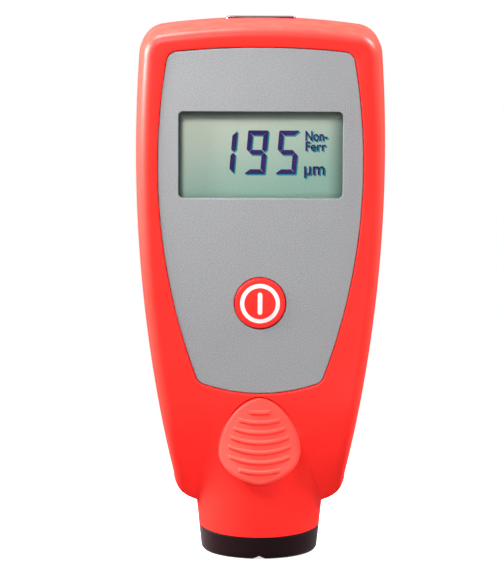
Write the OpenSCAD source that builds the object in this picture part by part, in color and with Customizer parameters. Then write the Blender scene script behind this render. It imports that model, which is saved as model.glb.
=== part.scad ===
// Pocket coating thickness gauge standing on its probe foot, front towards -Y.
// Origin at the middle of the foot's underside, Z up, millimetres.

/* [Housing] */
// Width of the housing at its widest level
body_w = 57.6; // [54:0.2:66]
// Height of the housing's top above the foot's underside
body_top = 124; // [120:0.1:134]
// Level of the widest section
widest_z = 93.5; // [84:0.5:100]
// Radius of the bowed sides seen from the front
side_arc_r = 327; // [260:1:500]
// Depth of the front half, from the parting plane to the front face
front_d = 14.5; // [14:0.1:17]
// Depth of the rear half, from the parting plane to the back face
back_d = 18.5; // [18:0.1:22]
// Edge radius around the front face
front_edge_r = 7; // [5:0.1:8]
// Edge radius around the back face
back_edge_r = 8; // [5:0.1:9]
// Edge radius along the top
top_edge_r = 4.5; // [3.5:0.1:6]
// Radius of the bowed top
top_arc_r = 166; // [140:1:220]
// Radius of the top corners in the front view
corner_r = 8.5; // [7:0.1:10]
// Wall thickness of both shells
wall = 2.6; // [2.2:0.1:3]
// Level where the lower corners start to turn in
shoulder_z = 18; // [17:0.1:20]
// Height of the rounded lower corners
shoulder_h = 6.1; // [5:0.1:7]
// Width of the rounded lower corners
shoulder_w = 6.5; // [5:0.1:9]
// Level where the front and back start to roll in towards the hump
roll_z = 37.5; // [34:0.1:38.5]
// Depth left of the front half where the roll ends
front_roll_d = 3.4; // [3.2:0.1:6]
// Depth left of the rear half where the roll ends
back_roll_d = 5; // [4:0.1:8]

/* [Probe hump] */
// Radius of the hump where it meets the foot
hump_r0 = 14; // [13.5:0.1:15]
// Angle at which the hump widens upwards
hump_taper = 6; // [4:0.1:8]
// Rounding width of the crease between hump and body
hump_blend = 1.2; // [0.6:0.1:2]
// Tilt of the rim between hump and foot, with its back end higher
rim_tilt = 4.8; // [0:0.1:6]

/* [Thumb pad] */
// Level of the pad's upper end, where it meets the front face
pad_top_z = 38.4; // [37:0.1:40]
// Height of the pad along its slope
pad_h = 20.3; // [18:0.1:21]
// Width of the pad
pad_w = 19; // [17:0.1:20]
// Distance of the widest line above the pad's lower end
pad_belly = 8.1; // [7:0.1:9]
// Lean of the pad's face, lower end forward
pad_tilt = 11.4; // [9:0.1:12]
// Radius of the pad's crowned face
pad_curve_r = 24; // [22:0.1:30]
// Thickness of the pad at its upper end
pad_top_t = 1.2; // [1:0.1:1.4]
// Thickness of the pad at its lower end
pad_low_t = 3.6; // [3.4:0.1:4]
// Number of ridges across the pad
ridge_count = 7; // [5:1:7]
// Distance from ridge to ridge
ridge_pitch = 2.3; // [2:0.01:2.4]
// Distance of the first ridge below the pad's upper end
ridge_first = 3.6; // [3.4:0.05:4]
// Width of a ridge
ridge_w = 0.7; // [0.5:0.05:0.9]
// Height of a ridge above the pad's face
ridge_h = 0.45; // [0.3:0.05:0.6]
// Free margin beside the longest ridge
ridge_side = 2.2; // [1.8:0.1:2.6]
// Free margin above the field of ridges
ridge_over = 2.7; // [2.4:0.05:3]
// Free margin below the field of ridges
ridge_under = 1.55; // [1.3:0.05:1.7]
// Distance of the ridge field's widest line above its lower end
ridge_belly = 4.75; // [4.4:0.05:5.2]
// Radius of the arc that each ridge follows
ridge_bend_r = 17; // [12:0.5:24]

/* [Front plate] */
// Width of the housing's rim beside the plate at its widest level
rim_side = 5.3; // [5:0.1:6.5]
// Width of the housing's rim above the plate
rim_top = 5.1; // [4.8:0.1:7]
// Level of the plate's lower end
plate_low_z = 39.2; // [39:0.1:41]
// Level of the plate's widest line
plate_widest_z = 92; // [84:1:98]
// Radius of the plate's bowed sides
plate_side_r = 140; // [120:1:160]
// Radius of the plate's upper edge
plate_top_r = 190; // [120:1:240]
// Radius of the plate's lower edge
plate_low_r = 40; // [34:0.5:46]
// Corner radius of the plate
plate_corner_r = 2.6; // [2:0.1:4]
// Thickness of the plate
plate_t = 1.2; // [1:0.1:1.4]
// Depth of the plate's face below the housing's front face
plate_sink = 0.4; // [0.2:0.05:0.6]
// Wall of the collar round the display opening
collar_t = 1; // [0.8:0.1:1.2]

/* [Display] */
// Width of the display opening
window_w = 37.6; // [34:0.1:39]
// Height of the display opening
window_h = 20; // [17:0.1:21]
// Corner radius of the display opening
window_corner_r = 1.1; // [0.5:0.1:2]
// Level of the opening's middle
window_z = 94.3; // [92:0.1:97]
// Thickness of the display glass
glass_t = 0.8; // [0.6:0.1:1]
// Overlap of the glass and the display cell behind the opening's edge
glass_lap = 1.8; // [1.4:0.1:2]
// Thickness of the display cell
cell_t = 2.2; // [1.8:0.1:2.6]
// Height of the elastomer connectors between cell and board
connector_t = 1.6; // [1.2:0.1:2]
// Thickness of the elastomer connectors along the display's height
connector_h = 1.8; // [1.4:0.1:2.2]
// Wall of the display frame
frame_t = 1.2; // [1:0.1:1.4]

/* [Power button] */
// Level of the button's middle
button_z = 60.2; // [56:0.1:66]
// Radius of the button's cap
button_r = 5.8; // [5:0.1:6.5]
// Height of the cap's rim above the plate's face
button_proud = 0.5; // [0.3:0.05:0.9]
// Radius of the cap's domed face
button_dome_r = 40; // [30:1:60]
// Travel of the button
button_travel = 0.6; // [0.4:0.05:0.7]
// Overlap of the button's flange behind the housing
button_flange = 1.3; // [1:0.1:1.6]
// Thickness of the button's flange
button_flange_t = 0.9; // [0.7:0.1:1.1]
// Outer radius of the legend's ring
legend_r = 4.68; // [4.2:0.02:4.8]
// Width of the legend's ring
legend_w = 0.94; // [0.7:0.02:1.1]
// Width of the legend's bar
bar_w = 1.06; // [0.8:0.02:1.3]
// Length of the legend's bar
bar_l = 5.1; // [4:0.1:5.4]
// Depth of the legend in the cap
legend_t = 0.5; // [0.4:0.05:0.7]
// Side of the key switch's square body
switch_w = 6; // [5:0.1:7]
// Radius of the key switch's plunger
plunger_r = 1.75; // [1.4:0.05:2]

/* [Board] */
// How far the circuit board stands past the display's connectors on each side
board_side = 0.1; // [0:0.05:0.5]
// Thickness of the circuit board
board_t = 1.6; // [1.2:0.1:1.8]
// Length of the board below the button's middle
board_below = 16.4; // [15:0.1:17]
// Side of the controller chip
chip_w = 10; // [7:0.5:12]
// Thickness of the controller chip
chip_t = 1.2; // [0.9:0.1:1.4]
// Width of the probe socket
socket_w = 7; // [5:0.1:9]
// Height of the probe socket
socket_h = 4; // [3.4:0.1:5]
// Depth of the probe socket behind the board
socket_t = 2; // [1.6:0.1:2]

/* [Probe] */
// Height of the foot's visible ring
foot_h = 5.3; // [4.8:0.1:6]
// Edge radius of the foot's underside
foot_edge_r = 1.3; // [0.8:0.1:1.8]
// Draft of the foot's ring over its height
foot_draft = 0.45; // [0.2:0.05:0.8]
// Width of the groove across the underside
groove_w = 3.3; // [2.6:0.1:4]
// Depth of the groove across the underside
groove_t = 0.85; // [0.6:0.05:1.1]
// Height of the foot's spigot inside the shells
spigot_h = 6.2; // [6:0.1:7]
// Depth of the groove that locks the spigot
lock_t = 1.3; // [1:0.1:1.6]
// Radius of the moving sleeve
sleeve_r = 5; // [4.5:0.1:5.4]
// Wall of the moving sleeve
sleeve_wall = 0.8; // [0.6:0.05:1]
// Radius of the sleeve's nose
nose_r = 3.5; // [3.3:0.05:3.8]
// Top level of the moving sleeve
sleeve_top = 20; // [19:0.1:22]
// Travel of the probe below its flush position
probe_travel = 1.5; // [1:0.1:1.6]
// Thickness of the foot's floor round the nose
foot_floor = 1.2; // [1:0.1:1.3]
// Wall of the guide bush
bush_wall = 1.4; // [1.1:0.1:1.7]
// Radius of the core
core_r = 1.9; // [1.6:0.05:2]
// Length of the coil
coil_l = 10; // [8:0.5:11]
// Radius of the wear tip
tip_r = 1.5; // [1.2:0.05:1.55]
// Height of the spring's working space
spring_h = 10; // [9:0.1:12]
// Wire radius of the spring
spring_wire_r = 0.25; // [0.2:0.01:0.3]
// Number of the spring's turns
spring_turns = 6; // [4:1:8]

/* [Battery] */
// Width of the battery
battery_w = 26.2; // [25.5:0.1:26.5]
// Depth of the battery
battery_d = 16.8; // [16:0.1:17]
// Height of the battery without its terminals
battery_h = 46.2; // [45:0.1:47]
// Corner radius of the battery
battery_corner_r = 2; // [1.5:0.1:3]
// Height of the battery's terminals
terminal_h = 2.2; // [1.8:0.1:2.6]
// Radius of the battery's larger terminal
terminal_r = 4; // [3.6:0.1:4.4]
// Radius of the battery's smaller terminal
small_terminal_r = 2.9; // [2.6:0.1:3.2]
// Distance between the terminals
terminal_gap = 12.7; // [12.5:0.1:13]
// Thickness of the snap's plate above the terminals
snap_t = 1.8; // [1.4:0.1:2.2]
// Distance of the snap's ends inside the battery's width
snap_side = 0.5; // [0.3:0.1:1]
// Distance of the snap's long sides inside the battery's depth
snap_edge = 2.5; // [2:0.1:3]
// Corner radius of the snap
snap_corner_r = 3; // [2:0.1:4]
// Lower level of the battery bay
bay_z = 43; // [42:0.1:44]
// Wall of the battery bay
bay_wall = 1.2; // [1:0.1:1.4]
// Level difference between the bay's lower end and the door's lower edge
door_ledge = 1; // [0.8:0.1:1.4]
// Height of the battery door
door_h = 60; // [58:0.5:62]
// Lap of the door over the bay's side walls
door_lap = 0.7; // [0.5:0.05:0.9]
// Thickness of the battery door
door_t = 2; // [1.8:0.1:2.2]
// Width of each hooked lug on the door
lug_w = 6; // [4:0.1:7]
// Distance between the lugs' middles
lug_gap = 17; // [14:0.1:18]
// Reach of the lugs under the shell
lug_reach = 2.2; // [1.6:0.1:2.4]
// Thickness of the lugs
lug_t = 1.8; // [1.4:0.1:2]
// Number of grip grooves on the door
grip_count = 5; // [3:1:6]
// Distance from groove to groove
grip_pitch = 2; // [1.6:0.1:2.4]
// Radius of a grip groove
grip_r = 0.6; // [0.4:0.05:0.8]
// Height of the first groove above the door's lower edge
grip_low = 6; // [4:0.1:8]

/* [End window] */
// Width of the dark end window
end_w = 16.2; // [12:0.1:17]
// Depth of the dark end window
end_d = 3; // [2.4:0.1:4]
// Distance of the end window's middle from the back face
end_back = 6.2; // [5.9:0.1:8.5]
// Height of the end window above the housing's top
end_proud = 0.5; // [0.2:0.05:0.8]
// Radius of the end window's crowned top
end_crown_r = 60; // [50:1:90]
// Overlap of the end window's flange under the shell
end_flange = 1; // [0.8:0.1:1.2]
// Thickness of the end window's flange
end_flange_t = 1.3; // [1:0.1:1.6]

/* [Fasteners] */
// Radius of the housing screws
screw_r = 1.25; // [1:0.05:1.4]
// Head radius of the housing screws
screw_head_r = 2.4; // [2.1:0.05:2.6]
// Head height of the housing screws
screw_head_h = 1.6; // [1.3:0.1:1.9]
// Length of the housing screws below the head
screw_l = 13; // [11:0.5:14]
// Length of the screws' cross recess
drive_l = 2.6; // [2:0.1:3]
// Width of the screws' cross recess
drive_w = 0.6; // [0.4:0.05:0.8]
// Depth of the screws' cross recess
drive_t = 1; // [0.7:0.1:1.2]
// Depth of the screw head's seat below the back face
screw_sink = 9; // [8:0.1:10]
// Radius of the screw posts
post_r = 2.7; // [2.5:0.1:2.9]
// Distance of the upper screws from the housing's top
screw_top_gap = 11; // [10:0.1:12]
// Distance between the upper screws
screw_top_w = 36; // [34:0.5:38]
// Level of the lower screws
screw_low_z = 39; // [38.5:0.1:40]
// Distance between the lower screws
screw_low_w = 36; // [35.5:0.5:36.5]
// Radius of the board screws
board_screw_r = 0.8; // [0.6:0.05:1]
// Head radius of the board screws
board_head_r = 1.7; // [1.4:0.05:1.9]
// Head height of the board screws
board_head_h = 1; // [0.8:0.1:1.2]
// Distance of the board screws from the board's side edge
board_screw_edge = 3; // [2.6:0.1:3.4]

/* [Clearances] */
// Gap round inlays that lie in a pocket
inlay_gap = 0.15; // [0.1:0.01:0.25]
// Gap round the button in the plate
button_gap = 0.25; // [0.2:0.01:0.35]
// Radial clearance of sliding round pieces
slide_gap = 0.05; // [0.03:0.01:0.1]
// Radial clearance of pieces pushed into a bore
push_gap = 0.03; // [0.02:0.01:0.06]
// Gap round the battery door
door_gap = 0.3; // [0.25:0.01:0.4]
// Gap between loose pieces inside
loose_gap = 0.3; // [0.2:0.01:0.4]

/* [Hidden] */
$fn = 64;

// Overrun of cutting shapes past the face they cut
over = 1;
// Depth to which posts and ribs are rooted in a wall
root = 1;
// Facets of offset outlines
outline_fn = 40;

body_low = shoulder_z - shoulder_h;
inner_f = front_d - wall;
inner_b = back_d - wall;

// Centres of the bowed side and the bowed top, and of the corner that joins them
side_c = [body_w / 2 - side_arc_r, widest_z];
top_c = [0, body_top - top_arc_r];
join_gap = norm(top_c - side_c);
join_way = (top_c - side_c) / join_gap;
side_in_r = side_arc_r - corner_r;
top_in_r = top_arc_r - corner_r;
join_along = (pow(join_gap, 2) + pow(side_in_r, 2) - pow(top_in_r, 2)) / (2 * join_gap);
join_away = sqrt(pow(side_in_r, 2) - pow(join_along, 2));
corner_c = side_c + join_along * join_way + join_away * [-join_way[1], join_way[0]];
corner_start = atan2(corner_c[1] - side_c[1], corner_c[0] - side_c[0]);
corner_end = atan2(corner_c[1] - top_c[1], corner_c[0] - top_c[0]);
top_end = 88.5;

// Rows of the housing's skin: neck, shoulder, waist, flank, corner and top
neck_n = 3;
shoulder_n = 8;
waist_n = 8;
flank_n = 6;
corner_n = 7;
top_n = 5;
// Largest share of a section's half-size that its edge radius takes
edge_share = 0.98;
quarter = [0, 7, 13, 17, 21, 25, 29, 33, 37, 44, 51, 58, 66, 74, 82];
sweep = concat(quarter, [90], [for (i = [len(quarter) - 1:-1:0]) 180 - quarter[i]]);

end_y = back_d - end_back;
plate_f = front_d - plate_sink;
plate_seat_f = plate_f - plate_t;
plate_half = body_w / 2 - rim_side;
plate_top = body_top - rim_top;
opening_gap = collar_t + inlay_gap;

glass_w = window_w + 2 * glass_lap;
glass_h = window_h + 2 * glass_lap;
cell_f = inner_f - glass_t;
connector_f = cell_f - cell_t;
board_f = connector_f - connector_t;
board_back_f = board_f - board_t;
board_w = glass_w - 2 * (frame_t - board_side);
board_low = button_z - board_below;
board_top = window_z + glass_h / 2 + frame_t;
board_screw_x = board_w / 2 - board_screw_edge;
board_screw_z = [board_low + board_screw_edge, window_z - glass_h / 2 - frame_t - board_screw_edge];

button_hole_r = button_r + button_gap;
flange_f = inner_f - loose_gap;
button_back_f = flange_f - button_flange_t;
switch_f = button_back_f - button_travel - loose_gap;
cap_f = plate_f + button_proud;

pad_mid_z = pad_top_z - pad_h / 2 * cos(pad_tilt);
pad_mid_f = pad_face(pad_mid_z);
pad_wedge = atan((pad_low_t - pad_top_t) / pad_h);
pad_tip = pad_h - pad_belly;
// Powers of the egg's outline above and below its widest line
egg_tip = [1.75, 0.54];
egg_foot = [2, 0.6];

sleeve_bore_r = sleeve_r - sleeve_wall;
bush_bore_r = sleeve_r + slide_gap;
bush_r = bush_bore_r + bush_wall;
nose_hole_r = nose_r + slide_gap;
rim_rise = 2 * hump_r0 * tan(rim_tilt);
spigot_z = foot_h + rim_rise;
spigot_top = spigot_z + spigot_h;
spigot_r = hump_r0 - wall - loose_gap;
rib_z0 = spigot_z + spigot_h / 4;
rib_z1 = spigot_z + spigot_h / 2;
rib_r = spigot_r - lock_t;
seat_z = sleeve_top + spring_h;
seat_lip = 1.2;
seat_plug = 2.2;
bush_top = seat_z + seat_plug;
tip_rest = 0.03;
tip_h = 1.2;
nose_rest = 0.4;
coil_low = foot_floor + probe_travel + loose_gap;
core_cap = 1.6;
spring_mean_r = sleeve_bore_r - spring_wire_r - loose_gap;

// Route of the probe's lead from the spring seat to the socket
lead_r = 0.9;
lead_route = [
    [0, 0, 0], [0, 0, 2], [0, -0.6, 3.4], [0, -2, 4.4], [0, -3.6, 5.2], [0, -4.4, 6.6], [0, -4.6, 8.4]];
lead_end = lead_route[len(lead_route) - 1];

bay_half = battery_w / 2 + loose_gap;
bay_floor = back_d - door_t - loose_gap - battery_d;
battery_y = bay_floor + battery_d / 2;
battery_top = bay_z + battery_h;
bay_top = bay_z + door_ledge + door_h + lug_reach + bay_wall;
door_low = bay_z - door_ledge;
door_top = door_low + door_h;
door_half = bay_half + bay_wall + door_lap;
door_in = back_d - door_t;
lug_y = inner_b - loose_gap;

screw_spots = [
    [screw_top_w / 2, body_top - screw_top_gap],
    [-screw_top_w / 2, body_top - screw_top_gap],
    [screw_low_w / 2, screw_low_z],
    [-screw_low_w / 2, screw_low_z]];
screw_seat_y = back_d - screw_sink;
screw_floor = 3;
tube_end_y = screw_seat_y - screw_floor;
post_end_y = tube_end_y - loose_gap / 3;
tube_wall = 0.8;
head_hole_r = screw_head_r + loose_gap;

// Half-width of the body between its bowed sides
function side_half(z) = body_w / 2 - side_arc_r + sqrt(side_arc_r * side_arc_r - pow(z - widest_z, 2));

// Radius of the hump at a level
function hump_r(z) = hump_r0 + (z - foot_h) * tan(hump_taper);

// Distance of the pad's face in front of the parting plane
function pad_face(z) = front_d + (pad_top_z - z) * tan(pad_tilt);

// Half-depth at a level: roll at the lower end, with a thinner wall, and round edge at the top
function half_depth(z, off, depth, roll_d) =
    let (low = body_low + off, top = body_top - off, r = top_edge_r - off,
         end_d = roll_d - off / 2, turn = 90 * (z - low) / (roll_z - low))
    z < roll_z ? end_d + (depth - off - end_d) * sin(turn)
    : z > top - r ? depth - off - r + sqrt(max(0, r * r - pow(z - top + r, 2)))
    : depth - off;

// Levels of a skin as height, half-width and half-depth; the neck has no body section
function levels(off, depth, roll_d) =
    let (low = body_low + off, span = shoulder_h - off, turn = shoulder_w - off,
         bend = corner_r - off, high = corner_c[1] + bend * sin(corner_start))
    concat(
        [for (i = [0:neck_n - 1]) [foot_h + (low - foot_h) * i / neck_n, 0, 0]],
        [for (i = [0:shoulder_n])
            let (t = 90 * i / shoulder_n, z = shoulder_z - span * cos(t))
            [z, side_half(shoulder_z) - off - turn * (1 - sin(t)), half_depth(z, off, depth, roll_d)]],
        [for (i = [1:waist_n])
            let (z = shoulder_z + (plate_low_z - shoulder_z) * i / waist_n)
            [z, side_half(z) - off, half_depth(z, off, depth, roll_d)]],
        [for (i = [1:flank_n - 1])
            let (z = plate_low_z + (high - plate_low_z) * i / flank_n)
            [z, side_half(z) - off, half_depth(z, off, depth, roll_d)]],
        [for (i = [0:corner_n])
            let (t = corner_start + (corner_end - corner_start) * i / corner_n,
                 z = corner_c[1] + bend * sin(t))
            [z, corner_c[0] + bend * cos(t), half_depth(z, off, depth, roll_d)]],
        [for (i = [1:top_n])
            let (t = corner_end + (top_end - corner_end) * i / top_n,
                 z = top_c[1] + (top_arc_r - off) * sin(t))
            [z, (top_arc_r - off) * cos(t), half_depth(z, off, depth, roll_d)]]);

// Distance from the axis to a rounded rectangle, along direction c, s
function box_ray(c, s, a, d, r) =
    let (u = abs(c), cx = a - r, cy = d - r, b = u * cx + s * cy)
    u > 0 && a / u * s <= cy ? a / u
    : s > 0 && d / s * u <= cx ? d / s
    : b + sqrt(max(0, b * b - cx * cx - cy * cy + r * r));

// Distance from the axis to the hump, flattened under the pad on the front
function hump_ray(t, z, off, front) =
    let (r = hump_r(z) - off, f = pad_face(z) - pad_top_t / 2 - off - pad_curve_r)
    front ? min(r, f * sin(t) + sqrt(max(0, pow(pad_curve_r, 2) - pow(f * cos(t), 2))))
    : min(r, (back_d - hump_blend - off) / max(sin(t), 0.01));

// Level of a neck point: the tilted rim at the foot, levelled out where the body starts
function neck_z(t, z, off, front) =
    let (s = front ? sin(t) : -sin(t), lean = tan(rim_tilt), low = body_low + off,
         rise = lean * (hump_r0 - s * (hump_r0 - off)) / (1 + s * tan(hump_taper) * lean))
    z + rise * (low - z) / (low - foot_h);

// Larger of two distances, with the crease between them rounded
function blend(a, b, k) =
    let (h = max(0, k - abs(a - b)))
    max(a, b) + h * h / (4 * k);

// Distance from the axis to the skin
function skin_ray(t, level, off, edge_r, front) =
    level[1] == 0 ? hump_ray(t, neck_z(t, level[0], off, front), off, front)
    : let (r = min(edge_r - off, level[1] * edge_share, level[2] * edge_share),
           body = box_ray(cos(t), sin(t), level[1], level[2], r))
      level[0] > plate_low_z ? body : blend(body, hump_ray(t, level[0], off, front), hump_blend);

// Points of one skin of a half shell, from the foot upwards
function skin(off, depth, roll_d, edge_r, front) =
    [for (level = levels(off, depth, roll_d))
        for (t = sweep)
            let (r = skin_ray(t, level, off, edge_r, front),
                 z = level[1] == 0 ? neck_z(t, level[0], off, front) : level[0])
            [r * cos(t), -r * sin(t), z]];

// Hollow half of the housing on the -Y side of the parting plane
module half_shell(depth, roll_d, edge_r, front) {
    outer = skin(0, depth, roll_d, edge_r, front);
    inner = skin(wall, depth, roll_d, edge_r, front);
    n = len(sweep);
    m = len(outer) / n;
    q = len(outer);
    top = q - n;
    mid = [[0, 0, outer[top][2]], [0, 0, inner[top][2]]];
    polyhedron(concat(outer, inner, mid), concat(
        [for (i = [0:m - 2]) for (j = [0:n - 2])
            [i * n + j + 1, (i + 1) * n + j + 1, (i + 1) * n + j, i * n + j]],
        [for (i = [0:m - 2]) for (j = [0:n - 2])
            [q + i * n + j, q + (i + 1) * n + j, q + (i + 1) * n + j + 1, q + i * n + j + 1]],
        [for (j = [0:n - 2]) [j + 1, j, q + j, q + j + 1]],
        [for (i = [0:m - 2]) [i * n, (i + 1) * n, q + (i + 1) * n, q + i * n]],
        [for (i = [0:m - 2])
            [q + i * n + n - 1, q + (i + 1) * n + n - 1, (i + 1) * n + n - 1, i * n + n - 1]],
        [for (j = [0:n - 2]) [2 * q, top + j, top + j + 1]],
        [for (j = [0:n - 2]) [2 * q + 1, q + top + j + 1, q + top + j]],
        [[q + top, top, 2 * q, 2 * q + 1], [2 * q + 1, 2 * q, q - 1, 2 * q - 1]]));
}

// Shape drawn in the front view, from depth f0 to depth f1 in front of the parting plane
module front_slab(f0, f1) {
    translate([0, -f0, 0]) rotate([90, 0, 0]) linear_extrude(f1 - f0) children();
}

// Round bar along Y between two depths in front of the parting plane
module front_rod(x, z, r, f0, f1) {
    translate([x, -f0, z]) rotate([90, 0, 0]) cylinder(r = r, h = f1 - f0);
}

// Rectangle with round corners about a middle point
module round_rect(w, h, r) {
    hull() for (x = [-1, 1]) for (y = [-1, 1])
        translate([x * (w / 2 - r), y * (h / 2 - r)]) circle(r, $fn = 32);
}

// Outline of the front plate, bowed on all sides
module plate_outline() {
    offset(r = plate_corner_r, $fn = outline_fn) offset(delta = -plate_corner_r) intersection() {
        side_disc(1);
        side_disc(-1);
        translate([0, plate_top - plate_top_r]) circle(plate_top_r, $fn = 360);
        union() {
            translate([0, plate_low_z + plate_low_r]) circle(plate_low_r, $fn = 180);
            translate([-plate_low_r, plate_low_z + plate_low_r])
                square([2 * plate_low_r, plate_top]);
        }
    }
}

// Disc whose rim is one bowed side of the plate
module side_disc(side) {
    translate([side * (plate_half - plate_side_r), plate_widest_z]) circle(plate_side_r, $fn = 360);
}

// Display opening, grown by a margin
module window_outline(grow) {
    translate([0, window_z])
        round_rect(window_w + 2 * grow, window_h + 2 * grow, window_corner_r + grow);
}

// Half-width of an egg at a height over its widest line
function egg(y, half, tip, belly) = y > 0
    ? half * pow(max(0, 1 - pow(y / tip, egg_tip[0])), egg_tip[1])
    : half * pow(max(0, 1 - pow(-y / belly, egg_foot[0])), egg_foot[1]);

// Half-width of the pad at a height over its widest line
function pad_half(y) = egg(y, pad_w / 2, pad_tip, pad_belly);

// Half-width of the field of ridges at a height over the pad's widest line
function ridge_half(y) = egg(y + pad_belly - ridge_under - ridge_belly, pad_w / 2 - ridge_side,
    pad_h - ridge_over - ridge_under - ridge_belly, ridge_belly);

// Egg-shaped outline of the pad, grown by a margin
module pad_outline(grow) {
    n = 24;
    rise = [for (i = [0:n]) -pad_belly + pad_h * (1 - cos(180 * i / n)) / 2];
    right = [for (y = rise) [pad_half(y), y]];
    left = [for (i = [n - 1:-1:1]) [-right[i][0], right[i][1]]];
    translate([0, pad_belly - pad_h / 2])
        offset(delta = grow) polygon(concat(right, left));
}

// Places children on the pad's leaning face
module on_pad() {
    translate([0, -pad_mid_f, pad_mid_z]) rotate([90 - pad_tilt, 0, 0]) children();
}

// Everything behind the pad's wedge-shaped back
module behind_pad() {
    size = 4 * pad_h;
    translate([0, 0, -(pad_top_t + pad_low_t) / 2]) rotate([pad_wedge, 0, 0])
        translate([-size / 2, -size / 2, -size]) cube(size);
}

// Pad-shaped prism from its back outwards
module pad_prism(grow, height) {
    difference() {
        translate([0, 0, -2 * pad_low_t]) linear_extrude(2 * pad_low_t + height) pad_outline(grow);
        behind_pad();
    }
}

// Crowned barrel of the pad's face, raised by a height
module pad_barrel(rise) {
    translate([0, 0, -pad_curve_r]) rotate([90, 0, 0])
        cylinder(r = pad_curve_r + rise, h = 3 * pad_h, center = true, $fn = 128);
}

// Ridge number i, a bar that sags in its middle
module pad_ridge(i) {
    y = pad_h / 2 - ridge_first - i * ridge_pitch;
    half = ridge_half(y + pad_h / 2 - pad_belly);
    sag = ridge_bend_r - sqrt(ridge_bend_r * ridge_bend_r - half * half);
    drop = pad_curve_r - sqrt(pad_curve_r * pad_curve_r - half * half);
    intersection() {
        translate([0, 0, -drop - ridge_h]) linear_extrude(drop + 3 * ridge_h) intersection() {
            translate([0, y + ridge_bend_r]) difference() {
                circle(ridge_bend_r + ridge_w / 2, $fn = 180);
                circle(ridge_bend_r - ridge_w / 2, $fn = 180);
            }
            translate([-half, y - ridge_w]) square([2 * half, sag + 2 * ridge_w]);
        }
        pad_barrel(ridge_h);
    }
}

// Ring rib that locks the foot's spigot, on the front half
module lock_rib() {
    rotate([0, 0, 180]) rotate_extrude(angle = 180)
        translate([rib_r + push_gap, rib_z0 + push_gap])
            square([hump_r(rib_z0) - wall / 2 - rib_r, rib_z1 - rib_z0 - 2 * push_gap]);
}

// Slot for the end window in the rear shell's top
module end_slot() {
    translate([-end_w / 2 - inlay_gap, end_y - end_d / 2 - inlay_gap, body_top - 2 * wall])
        cube([end_w + 2 * inlay_gap, end_d + 2 * inlay_gap, 4 * wall]);
}

module front_shell() color("red") difference() {
    union() {
        half_shell(front_d, front_roll_d, front_edge_r, true);
        lock_rib();
        for (p = screw_spots) front_rod(p[0], p[1], post_r, -post_end_y, inner_f + root);
        for (x = [-1, 1]) for (z = board_screw_z)
            front_rod(x * board_screw_x, z, board_head_r, board_f, inner_f + root / 2);
    }
    front_slab(plate_seat_f, front_d + over) offset(delta = inlay_gap) plate_outline();
    front_slab(inner_f - over, front_d) window_outline(opening_gap);
    front_rod(0, button_z, button_hole_r + inlay_gap, inner_f - over, front_d);
    on_pad() pad_prism(inlay_gap, pad_low_t);
    for (p = screw_spots) front_rod(p[0], p[1], screw_r + push_gap, -post_end_y - over, inner_f - root);
    for (x = [-1, 1]) for (z = board_screw_z)
        front_rod(x * board_screw_x, z, board_screw_r + push_gap, board_f - over, inner_f);
}

module rear_shell() color("red") difference() {
    union() {
        mirror([0, 1, 0]) half_shell(back_d, back_roll_d, back_edge_r, false);
        mirror([0, 1, 0]) lock_rib();
        translate([-bay_half - bay_wall, bay_floor - bay_wall, bay_z - bay_wall])
            cube([2 * (bay_half + bay_wall), inner_b + root / 2 - bay_floor + bay_wall,
                  bay_top - bay_z + 2 * bay_wall]);
        for (p = screw_spots)
            front_rod(p[0], p[1], head_hole_r + tube_wall, -inner_b - root / 2, -tube_end_y);
    }
    translate([-bay_half, bay_floor, bay_z])
        cube([2 * bay_half, inner_b - bay_floor, bay_top - bay_z]);
    translate([-bay_half, bay_floor, bay_z])
        cube([2 * bay_half, back_d, door_top - bay_z - bay_wall]);
    translate([-door_half - door_gap, door_in, door_low - door_gap])
        cube([2 * (door_half + door_gap), door_t + over, door_h + 2 * door_gap]);
    for (x = [-1, 1])
        translate([x * lug_gap / 2 - lug_w / 2 - door_gap, inner_b - over, door_top - 2 * bay_wall])
            cube([lug_w + 2 * door_gap, wall + 2 * over, 2 * bay_wall + door_gap]);
    end_slot();
    for (p = screw_spots) {
        front_rod(p[0], p[1], head_hole_r, -back_d - over, -screw_seat_y);
        front_rod(p[0], p[1], screw_r + loose_gap, -screw_seat_y - over, -tube_end_y + over);
    }
}

module front_plate() color("silver") difference() {
    union() {
        front_slab(plate_seat_f, plate_f) plate_outline();
        front_slab(inner_f, plate_f) window_outline(collar_t);
    }
    front_slab(inner_f - over, front_d) window_outline(0);
    front_rod(0, button_z, button_hole_r, inner_f, front_d);
}

module display_window() color("lightcyan", 0.4)
    front_slab(cell_f, inner_f) translate([0, window_z]) square([glass_w, glass_h], center = true);

module display_cell() color("darkseagreen")
    front_slab(connector_f, cell_f) translate([0, window_z]) square([glass_w, glass_h], center = true);

module display_frame() color("white")
    front_slab(board_f, inner_f - inlay_gap) translate([0, window_z]) difference() {
        square([glass_w + 2 * (frame_t + inlay_gap), glass_h + 2 * (frame_t + inlay_gap)], center = true);
        square([glass_w + 2 * inlay_gap, glass_h + 2 * inlay_gap], center = true);
    }

module display_connectors() color("dimgray")
    for (side = [-1, 1])
        front_slab(board_f, connector_f)
            translate([0, window_z + side * (glass_h - connector_h) / 2])
                square([glass_w - 2 * frame_t, connector_h], center = true);

module main_board() color("green") difference() {
    front_slab(board_back_f, board_f)
        translate([-board_w / 2, board_low]) square([board_w, board_top - board_low]);
    for (x = [-1, 1]) for (z = board_screw_z)
        front_rod(x * board_screw_x, z, board_screw_r + loose_gap,
                  board_back_f - over, board_f + over);
}

module controller_chip() color("black")
    front_slab(board_back_f - chip_t, board_back_f)
        translate([0, window_z]) square(chip_w, center = true);

module probe_socket() color("ivory")
    front_slab(board_back_f - socket_t, board_back_f)
        translate([-socket_w / 2, board_low]) square([socket_w, socket_h]);

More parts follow.
